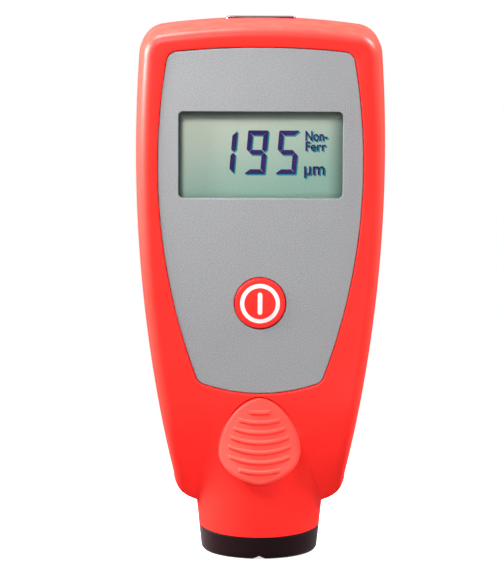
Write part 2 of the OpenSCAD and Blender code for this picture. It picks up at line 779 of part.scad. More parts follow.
module key_switch() color("black") difference() {
    front_slab(board_f, switch_f) translate([0, button_z]) square(switch_w, center = true);
    front_rod(0, button_z, plunger_r + slide_gap, board_f + root / 2, switch_f + over);
}

module switch_plunger() color("gainsboro")
    front_rod(0, button_z, plunger_r, board_f + root / 2 + button_travel + slide_gap, button_back_f);

// Domed face of the button as a ball that bounds it
module button_ball() {
    edge_drop = button_dome_r - sqrt(button_dome_r * button_dome_r - button_r * button_r);
    translate([0, button_dome_r - cap_f - edge_drop, button_z]) sphere(button_dome_r, $fn = 360);
}

// Legend of the button, a ring with an upright bar
module legend_outline() {
    translate([0, button_z]) {
        difference() {
            circle(legend_r);
            circle(legend_r - legend_w);
        }
        translate([0, (bar_l - bar_w) / 2]) circle(bar_w / 2);
        translate([0, -(bar_l - bar_w) / 2]) circle(bar_w / 2);
        square([bar_w, bar_l - bar_w], center = true);
    }
}

module power_button() color("red") difference() {
    union() {
        intersection() {
            front_rod(0, button_z, button_r, button_back_f, cap_f + button_r);
            button_ball();
        }
        front_rod(0, button_z, button_hole_r + inlay_gap + button_flange, button_back_f, flange_f);
    }
    front_slab(cap_f - legend_t, cap_f + button_r) legend_outline();
}

module button_legend() color("white") intersection() {
    front_slab(cap_f - legend_t, cap_f + button_r) legend_outline();
    button_ball();
}

module thumb_pad() color("salmon") on_pad() {
    intersection() {
        pad_prism(0, pad_low_t);
        pad_barrel(0);
    }
    for (i = [0:ridge_count - 1]) pad_ridge(i);
}

module end_window() color("black") translate([0, end_y, 0]) {
    reach = end_w / 2 + end_flange;
    bow = top_arc_r - sqrt(top_arc_r * top_arc_r - reach * reach);
    low = body_top - wall - bow - 1.5 * loose_gap;
    intersection() {
        translate([-end_w / 2, -end_d / 2, low - end_flange_t / 2])
            cube([end_w, end_d, body_top + end_proud - low + end_flange_t / 2]);
        translate([0, 0, body_top + end_proud - end_crown_r]) rotate([90, 0, 0])
            cylinder(r = end_crown_r, h = 2 * end_d, center = true, $fn = 180);
    }
    translate([-end_w / 2 - end_flange, -end_d / 2 - end_flange, low - end_flange_t])
        cube([end_w + 2 * end_flange, end_d + 2 * end_flange, end_flange_t]);
}

// Everything above the tilted rim of the foot
module above_rim() {
    size = 4 * hump_r0;
    translate([0, -hump_r0, foot_h]) rotate([rim_tilt, 0, 0])
        translate([-size / 2, -size / 4, 0]) cube(size);
}

// Visible ring of the foot, which carries on the hump's taper
module foot_ring() {
    ring_low = hump_r0 - foot_draft;
    difference() {
        rotate_extrude($fn = 128) {
            polygon([
                [0, 0], [ring_low - foot_edge_r, 0], [ring_low, foot_edge_r], [hump_r0, foot_h],
                [hump_r(foot_h + 2 * rim_rise), foot_h + 2 * rim_rise], [0, foot_h + 2 * rim_rise]]);
            translate([ring_low - foot_edge_r, foot_edge_r]) circle(foot_edge_r);
        }
        above_rim();
    }
}

module probe_foot() color("black") difference() {
    union() {
        foot_ring();
        rotate_extrude($fn = 128) {
            translate([0, foot_edge_r]) square([rib_r - push_gap, spigot_top - foot_edge_r]);
            translate([0, foot_edge_r]) square([spigot_r, rib_z0 - foot_edge_r]);
            translate([0, rib_z1]) square([spigot_r, spigot_top - rib_z1]);
        }
    }
    translate([0, 0, foot_floor]) cylinder(r = bush_r + push_gap, h = spigot_top);
    translate([0, 0, -over]) cylinder(r = nose_hole_r, h = foot_h);
    translate([0, hump_r0 + over, 0]) rotate([90, 0, 0]) linear_extrude(2 * (hump_r0 + over))
        polygon([
            [-groove_w / 2, 0], [0, groove_t], [groove_w / 2, 0],
            [groove_w / 2, -over], [-groove_w / 2, -over]]);
}

module guide_bush() color("goldenrod") difference() {
    translate([0, 0, foot_floor]) cylinder(r = bush_r, h = bush_top - foot_floor);
    translate([0, 0, foot_floor - over]) cylinder(r = bush_bore_r, h = bush_top + over);
}

module probe_sleeve() color("lightgray") difference() {
    union() {
        translate([0, 0, nose_rest]) cylinder(r = nose_r, h = coil_low - nose_rest + sleeve_wall / 2);
        translate([0, 0, coil_low]) cylinder(r = sleeve_r, h = sleeve_top - coil_low);
    }
    translate([0, 0, coil_low + sleeve_wall]) cylinder(r = sleeve_bore_r, h = sleeve_top);
    translate([0, 0, -over]) cylinder(r = core_r + push_gap, h = sleeve_top);
}

module probe_core() color("slategray") {
    translate([0, 0, tip_rest + tip_h])
        cylinder(r = core_r, h = coil_low + sleeve_wall + coil_l + core_cap - tip_rest - tip_h);
    translate([0, 0, coil_low + sleeve_wall + coil_l])
        cylinder(r = sleeve_bore_r - push_gap, h = core_cap);
}

module probe_coil() color("peru") difference() {
    translate([0, 0, coil_low + sleeve_wall]) cylinder(r = sleeve_bore_r - push_gap, h = coil_l);
    translate([0, 0, coil_low]) cylinder(r = core_r + push_gap, h = coil_l + 2 * over);
}

module probe_tip() color("dimgray") intersection() {
    translate([0, 0, tip_rest]) cylinder(r = tip_r, h = tip_h);
    translate([0, 0, tip_rest + 2 * tip_r]) sphere(2 * tip_r);
}

module probe_spring() color("silver") {
    low = coil_low + sleeve_wall + coil_l + core_cap + spring_wire_r;
    high = seat_z - spring_wire_r;
    sides = 8;
    turn_steps = 14;
    steps = turn_steps * spring_turns;
    ring = [for (i = [0:steps]) for (k = [0:sides - 1])
        let (t = 360 * spring_turns * i / steps, u = 360 * k / sides,
             r = spring_mean_r + spring_wire_r * cos(u))
        [r * cos(t), r * sin(t), low + (high - low) * i / steps + spring_wire_r * sin(u)]];
    polyhedron(ring, concat(
        [for (i = [0:steps - 1]) for (k = [0:sides - 1]) let (n = (k + 1) % sides)
            [i * sides + k, (i + 1) * sides + k, (i + 1) * sides + n, i * sides + n]],
        [[for (k = [0:sides - 1]) k], [for (k = [sides - 1:-1:0]) steps * sides + k]]));
}

module spring_seat() color("dimgray") {
    translate([0, 0, seat_z]) cylinder(r = bush_bore_r - push_gap, h = seat_plug);
    translate([0, 0, bush_top]) cylinder(r = bush_r, h = seat_lip);
}

module probe_lead() color("dimgray") {
    start = [0, -(board_back_f - socket_t / 2) - lead_end[1], bush_top + seat_lip];
    rise = (board_low - start[2]) / lead_end[2];
    sides = 8;
    path = [for (p = lead_route) [p[0], start[1] + p[1], start[2] + p[2] * rise]];
    n = len(path);
    ring = [for (i = [0:n - 1])
        let (a = path[max(0, i - 1)], b = path[min(n - 1, i + 1)], lean = atan2(a[1] - b[1], b[2] - a[2]),
             flat = i == 0 || i == n - 1 ? 0 : lean)
        for (k = [0:sides - 1]) let (u = 360 * k / sides)
            path[i] + lead_r * [cos(u), sin(u) * cos(flat), sin(u) * sin(flat)]];
    polyhedron(ring, concat(
        [for (i = [0:n - 2]) for (k = [0:sides - 1]) let (m = (k + 1) % sides)
            [i * sides + k, (i + 1) * sides + k, (i + 1) * sides + m, i * sides + m]],
        [[for (k = [0:sides - 1]) k], [for (k = [sides - 1:-1:0]) (n - 1) * sides + k]]));
}

module battery() color("darkgray") {
    translate([0, battery_y, bay_z]) linear_extrude(battery_h)
        round_rect(battery_w, battery_d, battery_corner_r);
    for (side = [-1, 1])
        translate([side * terminal_gap / 2, battery_y, battery_top])
            cylinder(r = side > 0 ? terminal_r : small_terminal_r, h = terminal_h);
}

module battery_snap() color("black") difference() {
    translate([0, battery_y, battery_top]) linear_extrude(terminal_h + snap_t)
        round_rect(battery_w - 2 * snap_side, battery_d - 2 * snap_edge, snap_corner_r);
    for (side = [-1, 1])
        translate([side * terminal_gap / 2, battery_y, battery_top - over])
            cylinder(r = (side > 0 ? terminal_r : small_terminal_r) + push_gap, h = terminal_h + over);
}

module battery_door() color("red") {
    difference() {
        translate([-door_half, door_in, door_low]) cube([2 * door_half, door_t, door_h]);
        for (i = [0:grip_count - 1])
            translate([0, back_d, door_low + grip_low + grip_pitch * i]) rotate([0, 90, 0])
                cylinder(r = grip_r, h = door_half, center = true);
    }
    for (x = [-1, 1]) {
        translate([x * lug_gap / 2 - lug_w / 2, lug_y - lug_t, door_top - 2 * bay_wall])
            cube([lug_w, lug_t, 2 * bay_wall + lug_reach]);
        translate([x * lug_gap / 2 - lug_w / 2, lug_y - lug_t, door_top - 2 * bay_wall])
            cube([lug_w, door_in + root / 2 - lug_y + lug_t, 2 * bay_wall]);
    }
}

module housing_screws() color("silver")
    for (p = screw_spots) difference() {
        union() {
            front_rod(p[0], p[1], screw_head_r, -screw_seat_y - screw_head_h, -screw_seat_y);
            front_rod(p[0], p[1], screw_r, -screw_seat_y, -screw_seat_y + screw_l);
        }
        for (turn = [0, 90])
            translate([p[0], screw_seat_y + screw_head_h, p[1]]) rotate([0, turn, 0])
                cube([drive_l, 2 * drive_t, drive_w], center = true);
    }

module board_screws() color("silver")
    for (x = [-1, 1]) for (z = board_screw_z) {
        front_rod(x * board_screw_x, z, board_head_r, board_back_f - board_head_h, board_back_f);
        front_rod(x * board_screw_x, z, board_screw_r, board_back_f, inner_f - root / 2);
    }

front_shell();
rear_shell();
front_plate();
display_window();
display_cell();
display_frame();
display_connectors();
main_board();
controller_chip();
probe_socket();
key_switch();
switch_plunger();
power_button();
button_legend();
thumb_pad();
end_window();
probe_foot();
guide_bush();
probe_sleeve();
probe_core();
probe_coil();
probe_tip();
probe_spring();
spring_seat();
probe_lead();
battery();
battery_snap();
battery_door();
housing_screws();
board_screws();
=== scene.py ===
"""Visual model of a hand-held coating thickness gauge, dressed on its CAD frame.

Lengths in the classes are millimetres and meshes are written in metres.
The gauge stands on its foot: Z runs up from the foot's face, X to the right, and the front faces -Y.
A depth f counts forwards from the parting plane between the two shells, so y = -f.
"""

import logging
import math
from collections.abc import Callable, Iterable, Sequence
from dataclasses import dataclass
from enum import Enum

import bmesh
import bpy
import numpy as np
from mathutils import Matrix, Vector


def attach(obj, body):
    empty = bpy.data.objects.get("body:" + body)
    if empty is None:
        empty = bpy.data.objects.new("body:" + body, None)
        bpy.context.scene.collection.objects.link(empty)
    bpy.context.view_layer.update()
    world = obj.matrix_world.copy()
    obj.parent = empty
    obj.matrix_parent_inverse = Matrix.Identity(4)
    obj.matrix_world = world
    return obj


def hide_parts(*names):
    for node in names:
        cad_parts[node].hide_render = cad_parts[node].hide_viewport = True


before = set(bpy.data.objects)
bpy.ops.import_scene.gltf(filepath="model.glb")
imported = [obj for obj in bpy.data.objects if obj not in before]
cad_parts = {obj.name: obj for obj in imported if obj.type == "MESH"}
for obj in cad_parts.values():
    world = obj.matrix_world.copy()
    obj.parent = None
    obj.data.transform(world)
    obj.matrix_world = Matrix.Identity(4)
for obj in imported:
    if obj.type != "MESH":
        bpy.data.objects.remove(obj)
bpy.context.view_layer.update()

log = logging.getLogger("gauge")

MM = 0.001
WELD = 0.0005
SLIVER = 0.0002
TINY = 1e-9
MOUTH_SHARE = 0.3
MOUTH_SLOPE = 2.2
ROD_SIDES = 64


class Body(Enum):
    """Bodies of the CAD frame that pieces ride on."""

    HOUSING = "housing"
    BUTTON = "button"
    DOOR = "door"


class Half(Enum):
    """The two halves of the housing, as the sign of their depth."""

    FRONT = 1.0
    REAR = -1.0


class Solid(Enum):
    """Boolean operations between closed meshes."""

    CUT = "DIFFERENCE"
    ADD = "UNION"


def grid_quads(rows: int, cols: int, wrap: bool = False, base: int = 0) -> np.ndarray:
    """Lists the quads of a regular grid of points.

    Args:
        rows: Number of point rows.
        cols: Number of points in a row.
        wrap: Whether the last column joins the first.
        base: Index of the grid's first point.

    Returns:
        Array of shape (quads, 4) with point indices.
    """
    index = np.arange(rows * cols).reshape(rows, cols) + base
    right = np.roll(index, -1, axis=1)
    if not wrap:
        index, right = index[:, :-1], right[:, :-1]
    return np.stack([index[:-1], right[:-1], right[1:], index[1:]], axis=-1).reshape(-1, 4)


def write_mesh(name: str, points: np.ndarray, blocks: Iterable[np.ndarray]) -> bpy.types.Object:
    """Makes a clean closed mesh object from points and blocks of faces.

    Args:
        name: Name of the object.
        points: Array of shape (points, 3) in millimetres.
        blocks: Arrays of shape (faces, corners) with point indices.

    Returns:
        The new object at the origin, with its normals outwards.
    """
    mesh = bpy.data.meshes.new(name)
    faces = [face for block in blocks for face in np.asarray(block).tolist()]
    mesh.from_pydata((points.reshape(-1, 3) * MM).tolist(), [], faces)
    work = bmesh.new()
    work.from_mesh(mesh)
    bmesh.ops.remove_doubles(work, verts=work.verts, dist=WELD * MM)
    bmesh.ops.dissolve_degenerate(work, edges=work.edges, dist=SLIVER * MM)
    bmesh.ops.recalc_face_normals(work, faces=work.faces)
    work.to_mesh(mesh)
    work.free()
    piece = bpy.data.objects.new(name, mesh)
    bpy.context.scene.collection.objects.link(piece)
    return piece


def loft(name: str, rings: np.ndarray, closed: bool = False) -> bpy.types.Object:
    """Makes a solid through a stack of rings with the same number of points.

    Args:
        name: Name of the object.
        rings: Array of shape (rings, points, 3) in millimetres.
        closed: Whether the last ring joins the first, instead of both being capped.

    Returns:
        The new object.
    """
    rows, cols, _ = rings.shape
    if closed:
        rings = np.concatenate([rings, rings[:1]])
        return write_mesh(name, rings, [grid_quads(rows + 1, cols, wrap=True)])
    caps = np.stack([np.arange(cols), np.arange(cols) + (rows - 1) * cols])
    return write_mesh(name, rings, [grid_quads(rows, cols, wrap=True), caps])


def slab_rings(loops: Sequence[np.ndarray], depths: Sequence[float]) -> np.ndarray:
    """Places outlines of the front view at their depths.

    Args:
        loops: Outlines as arrays of shape (points, 2) with x and z.
        depths: Depth of each outline in front of the parting plane.

    Returns:
        Array of shape (outlines, points, 3).
    """
    flat = np.stack(loops)
    y = np.broadcast_to(-np.asarray(depths)[:, None], flat.shape[:2])
    return np.stack([flat[..., 0], y, flat[..., 1]], axis=-1)


def spin_rings(profile: np.ndarray, sides: int) -> np.ndarray:
    """Turns a profile about the Z axis.

    Args:
        profile: Array of shape (points, 2) with radius and height.
        sides: Number of steps round the axis.

    Returns:
        Array of shape (points, sides, 3).
    """
    turn = np.linspace(0.0, 2.0 * np.pi, sides, endpoint=False)
    radius, height = profile[:, :1], profile[:, 1:]
    flat = [radius * np.cos(turn), radius * np.sin(turn), np.broadcast_to(height, (len(profile), sides))]
    return np.stack(flat, axis=-1)


def forwards(rings: np.ndarray, x: float, z: float) -> np.ndarray:
    """Turns rings about the Z axis into rings about a line along the depth.

    Args:
        rings: Array of shape (rings, points, 3) whose height becomes depth.
        x: Place of the line across the front.
        z: Place of the line up the front.

    Returns:
        Array of the same shape.
    """
    return np.stack([rings[..., 0] + x, -rings[..., 2], rings[..., 1] + z], axis=-1)


def circle_loop(x: float, z: float, radius: float, sides: int = 96) -> np.ndarray:
    """Outline of a circle in the front view.

    Args:
        x: Centre across.
        z: Centre up.
        radius: Radius.
        sides: Number of points.

    Returns:
        Array of shape (sides, 2).
    """
    turn = np.linspace(0.0, 2.0 * np.pi, sides, endpoint=False)
    return np.column_stack([x + radius * np.cos(turn), z + radius * np.sin(turn)])


def rectangle_loop(
    x: float, z: float, width: float, height: float, radius: float, steps: int = 10
) -> np.ndarray:
    """Outline of a rectangle with round corners in the front view.

    Args:
        x: Centre across.
        z: Centre up.
        width: Full width.
        height: Full height.
        radius: Corner radius.
        steps: Points on each corner.

    Returns:
        Array of shape (4 * steps, 2).
    """
    turn = np.linspace(0.0, np.pi / 2.0, steps)
    turns = (turn[None, :] + np.arange(4)[:, None] * np.pi / 2.0).ravel()
    side = np.repeat(np.array([[1, 1], [-1, 1], [-1, -1], [1, -1]]), steps, axis=0)
    middle = side * (np.array([width, height]) / 2.0 - radius)
    return middle + radius * np.column_stack([np.cos(turns), np.sin(turns)]) + np.array([x, z])


def solid(piece: bpy.types.Object, tools: Sequence[bpy.types.Object], operation: Solid = Solid.CUT) -> None:
    """Cuts tools from a piece, or adds them to it, and removes the tools.

    Args:
        piece: Closed mesh object that is changed.
        tools: Closed mesh objects, used one after another.
        operation: What is done with each tool.
    """
    for tool in tools:
        step = piece.modifiers.new("solid", "BOOLEAN")
        step.operation = operation.value
        step.solver = "EXACT"
        step.object = tool
    graph = bpy.context.evaluated_depsgraph_get()
    result = bpy.data.meshes.new_from_object(piece.evaluated_get(graph))
    old = piece.data
    piece.modifiers.clear()
    piece.data = result
    result.name = piece.name
    bpy.data.meshes.remove(old)
    for tool in tools:
        mesh = tool.data
        bpy.data.objects.remove(tool)
        bpy.data.meshes.remove(mesh)


def shade(piece: bpy.types.Object, degrees: float = 35.0, level: bool = False) -> None:
    """Shades a mesh smooth, with its sharp edges kept.

    Args:
        piece: Mesh object.
        degrees: Angle between faces above which an edge stays sharp.
        level: Whether large flat faces keep their own normal up to their edges.
    """
    mesh = piece.data
    mesh.polygons.foreach_set("use_smooth", np.ones(len(mesh.polygons), dtype=bool))
    mesh.set_sharp_from_angle(angle=math.radians(degrees))
    if level:
        weights = piece.modifiers.new("flat_faces", "WEIGHTED_NORMAL")
        weights.mode = "FACE_AREA"
        weights.keep_sharp = True


def place(piece: bpy.types.Object, body: Body, finish: bpy.types.Material, slot: str, *nodes: str) -> None:
    """Gives a piece its finish and lets it ride on a body in place of CAD nodes.

    Args:
        piece: Mesh object in its place.
        body: Body that it moves with.
        finish: Material of the piece.
        slot: Material slot of the record that the finish belongs to; not used.
        nodes: CAD nodes that the piece stands for.
    """
    piece.data.materials.clear()
    piece.data.materials.append(finish)
    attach(piece, body.value)
    if nodes:
        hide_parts(*nodes)
    log.info("%s: %d faces", piece.name, len(piece.data.polygons))


@dataclass(frozen=True)
class SkinGrid:
    """Number of points on one skin of a half shell."""

    step: float
    wall: int
    edge: int
    face: int
    corner: int
    top: int


@dataclass(frozen=True)
class Edge:
    """Edge of a half shell: draft of its wall in degrees and radius to its face, at the sides and top."""

    side_draft: float
    top_draft: float
    side_r: float
    top_r: float
    least_r: float = 0.6

    def at(self, up: np.ndarray, off: float) -> tuple[np.ndarray, np.ndarray]:
        """Draft and radius where the outline looks up by a share, from 0 at the sides to 1 at the top.

        Args:
            up: Shares.
            off: Distance inside the outer skin.

        Returns:
            Drafts in radians and radii.
        """
        draft = np.radians(self.side_draft + (self.top_draft - self.side_draft) * up)
        radius = self.side_r + (self.top_r - self.side_r) * up - off
        return draft, np.maximum(radius, self.least_r)


@dataclass(frozen=True)
class PadForm:
    """Egg-shaped thumb pad with a barrel-shaped face and curved ridges, drawn on its leaning plane."""

    top_z: float = 38.4
    height: float = 20.3
    width: float = 19.0
    belly: float = 8.1
    tilt: float = 11.4
    curve_r: float = 24.0
    top_t: float = 1.2
    low_t: float = 3.6
    edge_r: float = 1.0
    ridge_count: int = 7
    ridge_first: float = 3.6
    ridge_pitch: float = 2.3
    ridge_w: float = 1.0
    ridge_h: float = 0.55
    ridge_end: float = 0.35
    ridge_side: float = 2.2
    ridge_over: float = 2.7
    ridge_under: float = 1.55
    ridge_belly: float = 4.75
    ridge_bend_r: float = 17.0
    tip_powers: tuple[float, float] = (1.75, 0.54)
    belly_powers: tuple[float, float] = (2.0, 0.6)

    def egg(self, y: np.ndarray, half: float, tip: float, belly: float) -> np.ndarray:
        """Half-width of an egg: a superellipse with its own powers above and below the widest line.

        Args:
            y: Places over the widest line.
            half: Largest half-width.
            tip: Height above the widest line.
            belly: Height below the widest line.

        Returns:
            Half-widths.
        """
        above, below = (
            np.maximum(0.0, 1.0 - np.maximum(share, 0.0) ** inner) ** outer
            for share, (inner, outer) in ((y / tip, self.tip_powers), (-y / belly, self.belly_powers))
        )
        return half * np.where(y > 0.0, above, below)

    def half(self, y: np.ndarray) -> np.ndarray:
        """Half-width over the pad.

        Args:
            y: Places along the pad, from the middle of its height.

        Returns:
            Half-widths.
        """
        over = y + self.height / 2.0 - self.belly
        return self.egg(over, self.width / 2.0, self.height - self.belly, self.belly)

    def ridges(self, x: np.ndarray, y: np.ndarray) -> np.ndarray:
        """Height of the ridges: bars on arcs of one radius, with steep flanks and square ends.

        A bar's section is (1 - u^4)^(1/2) over its half-width, and the ends fall away within a short
        distance of a smaller egg that bounds the field of ridges.

        Args:
            x: Places across the pad.
            y: Places along the pad.

        Returns:
            Heights over the barrel face.
        """
        line = self.height / 2.0 - self.ridge_first - self.ridge_pitch * np.arange(self.ridge_count)
        field = self.height - self.ridge_over - self.ridge_under - self.ridge_belly
        over = line + self.height / 2.0 - self.ridge_under - self.ridge_belly
        reach = self.egg(over, self.width / 2.0 - self.ridge_side, field, self.ridge_belly)
        across = np.abs(x[..., None])
        arc = line + self.ridge_bend_r - np.sqrt(self.ridge_bend_r**2 - across**2)
        beside = np.minimum(1.0, np.abs(y[..., None] - arc) / (self.ridge_w / 2.0))
        beyond = np.clip((across - reach) / self.ridge_end + 1.0, 0.0, 1.0)
        shape = np.sqrt(1.0 - beside**4) * np.sqrt(1.0 - beyond**2)
        return self.ridge_h * shape.max(axis=-1)

    def mid_z(self) -> float:
        """Height of the pad's middle.

        Returns:
            Height over the foot's face.
        """
        return self.top_z - self.height / 2.0 * math.cos(math.radians(self.tilt))

    def to_frame(self, local: np.ndarray, mid_f: float) -> np.ndarray:
        """Turns points of the leaning plane into the shared frame.

        Args:
            local: Array of shape (..., 3) with places across, along and out of the pad.
            mid_f: Depth of the face at the middle of the pad's height.

        Returns:
            Array of the same shape.
        """
        lean = math.radians(90.0 - self.tilt)
        x, y, h = np.moveaxis(local, -1, 0)
        back = -mid_f + y * math.cos(lean) - h * math.sin(lean)
        return np.stack([x, back, self.mid_z() + y * math.sin(lean) + h * math.cos(lean)], axis=-1)

    def back(self, y: np.ndarray) -> np.ndarray:
        """Height of the wedge-shaped back, thin at the top and thick at the lower edge.

        Args:
            y: Places along the pad.

        Returns:
            Heights, which are negative.
        """
        return -(self.top_t + self.low_t) / 2.0 + (self.low_t - self.top_t) / self.height * y

    def loop(self, grow: float, count: int = 48) -> np.ndarray:
        """Closed outline of the pad on its plane.

        Args:
            grow: Distance by which the outline is moved outwards.
            count: Points on each side.

        Returns:
            Array of shape (2 * count, 2).
        """
        turn = np.linspace(0.0, np.pi, count, endpoint=False)
        y = -self.height / 2.0 * np.cos(turn)
        right = np.column_stack([self.half(y), y])
        left = np.column_stack([-self.half(-y), -y])
        line = np.concatenate([right, left])
        slope = np.roll(line, -1, axis=0) - np.roll(line, 1, axis=0)
        outwards = np.column_stack([slope[:, 1], -slope[:, 0]]) / np.hypot(*slope.T)[:, None]
        return line + grow * outwards


@dataclass(frozen=True)
class HousingForm:
    """Shape of the moulded housing: bowed sides and top, round edges, rolled lower end and a probe hump."""

    half_w: float = 28.92
    side_r: float = 327.0
    widest_z: float = 93.5
    top_z: float = 124.0
    top_r: float = 166.0
    corner_r: float = 6.0
    front_d: float = 14.5
    back_d: float = 18.5
    front_edge: Edge = Edge(5.8, 2.4, 2.5, 2.3)
    back_edge: Edge = Edge(0.0, 0.0, 5.0, 3.2)
    wall: float = 2.6
    shoulder_z: float = 18.0
    shoulder_h: float = 6.1
    shoulder_w: float = 6.5
    roll_z: float = 37.5
    front_roll_d: float = 3.4
    back_roll_d: float = 5.0
    foot_h: float = 5.3
    rim_tilt: float = 4.8
    hump_r0: float = 14.0
    hump_taper: float = 6.0
    hump_blend: float = 1.2
    blend_z: float = 39.2
    pad: PadForm = PadForm()
    pad_flush: float = 1.0
    inlay_gap: float = 0.15
    face_strip: float = 0.15
    shoulder_arc: float = 12.0
    neck_half: float = 1e-6
    round_share: float = 0.9
    outer: SkinGrid = SkinGrid(0.6, 14, 14, 121, 28, 120)
    inner: SkinGrid = SkinGrid(2.0, 5, 5, 25, 8, 24)

    def full_depth(self, half: Half) -> float:
        """Depth of one half.

        Args:
            half: Front or rear half.

        Returns:
            Depth from the parting plane.
        """
        return self.front_d if half is Half.FRONT else self.back_d

    def edge(self, half: Half) -> Edge:
        """Edge round one half.

        Args:
            half: Front or rear half.

        Returns:
            The edge's sizes.
        """
        return self.front_edge if half is Half.FRONT else self.back_edge

    def side_half(self, z: np.ndarray) -> np.ndarray:
        """Half-width between the bowed sides: a wide circle about the widest height.

        Args:
            z: Heights.

        Returns:
            Half-widths.
        """
        return self.half_w - self.side_r + np.sqrt(self.side_r**2 - (z - self.widest_z) ** 2)

    def pad_face(self, z: np.ndarray) -> np.ndarray:
        """Depth of the leaning pad face.

        Args:
            z: Heights.

        Returns:
            Depths in front of the parting plane.
        """
        return self.front_d + (self.pad.top_z - z) * math.tan(math.radians(self.pad.tilt))

    def pad_mid(self) -> float:
        """Depth of the pad's face at the middle of its height.

        Returns:
            Depth in front of the parting plane.
        """
        return float(self.pad_face(self.pad.mid_z()))

    def depth(self, z: np.ndarray, off: float, half: Half) -> np.ndarray:
        """Half-depth over the height, with a sine roll at the lower end.

        Args:
            z: Heights.
            off: Distance inside the outer skin.
            half: Front or rear half.

        Returns:
            Half-depths.
        """
        full = self.full_depth(half) - off
        low = self.shoulder_z - self.shoulder_h + off
        start = (self.front_roll_d if half is Half.FRONT else self.back_roll_d) - off / 2.0
        share = np.clip((z - low) / (self.roll_z - low), 0.0, 1.0)
        return start + (full - start) * np.sin(np.pi / 2.0 * share)

    def stations(self, off: float, step: float) -> tuple[np.ndarray, np.ndarray]:
        """Heights of the sections and their half-widths, from the neck to the widest height.

        The shoulder is a quarter ellipse and the flanks follow the bowed sides.

        Args:
            off: Distance inside the outer skin.
            step: Wanted distance between sections.

        Returns:
            Heights and half-widths.
        """
        low = self.shoulder_z - self.shoulder_h + off
        neck = np.linspace(self.foot_h, low, max(3, round((low - self.foot_h) / step)), endpoint=False)
        turn = np.linspace(0.0, np.pi / 2.0, round(self.shoulder_arc / step))
        shoulder = self.shoulder_z - (self.shoulder_h - off) * np.cos(turn)
        shoulder_a = self.side_half(self.shoulder_z) - off - (self.shoulder_w - off) * (1.0 - np.sin(turn))
        rows = round((self.widest_z - self.shoulder_z) / step)
        flank = np.linspace(self.shoulder_z, self.widest_z, rows)[1:]
        z = np.concatenate([neck, shoulder, flank])
        a = np.concatenate([np.full(len(neck), self.neck_half), shoulder_a, self.side_half(flank) - off])
        return z, a

    def rays(self, turns: np.ndarray, z: np.ndarray, a: np.ndarray, off: float, half: Half) -> np.ndarray:
        """Distance from the axis to the skin in every direction of every section.

        The body is a tapered wall, a quarter circle and a flat face, and the hump a cone that is
        flattened under the pad; the larger of the two counts, with h^2 / 4k added where they are
        within k of each other.

        Args:
            turns: Directions round the axis, in radians.
            z: Heights of the points, of shape (sections, directions).
            a: Half-widths of the sections.
            off: Distance inside the outer skin.
            half: Front or rear half.

        Returns:
            Array of shape (sections, directions).
        """
        a, d = a[:, None], self.depth(z, off, half)
        u, s = np.abs(np.cos(turns))[None, :] + TINY, np.sin(turns)[None, :] + TINY
        draft, r = self.edge(half).at(np.zeros(1), off)
        r = np.minimum(r, np.minimum(a, d) * self.round_share)
        cy = d - r
        cx = a - (r + cy * np.sin(draft)) / np.cos(draft)
        b = u * cx + s * cy
        corner = b + np.sqrt(np.maximum(0.0, b**2 - cx**2 - cy**2 + r**2))
        wall = a / (u + s * np.tan(draft))
        body = np.where(wall * s <= cy + r * np.sin(draft), wall, np.where(d / s * u <= cx, d / s, corner))
        hump = self.hump_r0 + (z - self.foot_h) * math.tan(math.radians(self.hump_taper)) - off
        if half is Half.FRONT:
            f = self.pad_face(z) - self.pad_flush - off - self.pad.curve_r
            flat = f * s + np.sqrt(np.maximum(0.0, self.pad.curve_r**2 - (f * u) ** 2))
            hump = np.minimum(hump, flat)
        else:
            hump = np.minimum(hump, (self.back_d - self.hump_blend - off) / s)
        near = np.maximum(0.0, self.hump_blend - np.abs(body - hump))
        blended = np.maximum(body, hump) + near**2 / (4.0 * self.hump_blend)
        return np.where(z > self.blend_z, body, blended)

    def rim_rise(self, front: np.ndarray, off: float) -> np.ndarray:
        """Rise of the tilted rim between hump and foot, where a plane cuts the tapered hump.

        Args:
            front: Share of each direction that points to the front.
            off: Distance inside the outer skin.

        Returns:
            Rises over the front end of the rim.
        """
        lean, taper = math.tan(math.radians(self.rim_tilt)), math.tan(math.radians(self.hump_taper))
        return lean * (self.hump_r0 - front * (self.hump_r0 - off)) / (1.0 + front * taper * lean)

    def profile(
        self, half: Half, off: float, grid: SkinGrid, up: np.ndarray
    ) -> tuple[np.ndarray, np.ndarray]:
        """Section of the edge: a tapered wall from the parting plane, an arc and a strip of the flat face.

        Args:
            half: Front or rear half.
            off: Distance inside the outer skin.
            grid: Number of points.
            up: How far each point of the outline looks up, from 0 to 1.

        Returns:
            Insets and depths, each of shape (points of the section, points of the outline).
        """
        draft, r = self.edge(half).at(up, off)
        low = self.full_depth(half) - off - r
        rise = np.linspace(0.0, 1.0, grid.wall, endpoint=False)[:, None] * (low + r * np.sin(draft))
        turn = draft + np.linspace(0.0, 1.0, grid.edge)[:, None] * (np.pi / 2.0 - draft)
        bend = (r + low * np.sin(draft)) / np.cos(draft) - r * np.cos(turn)
        inset = np.concatenate([rise * np.tan(draft), bend, bend[-1:] + self.face_strip])
        return inset, np.concatenate([rise, low + r * np.sin(turn), (low + r)[None, :]])

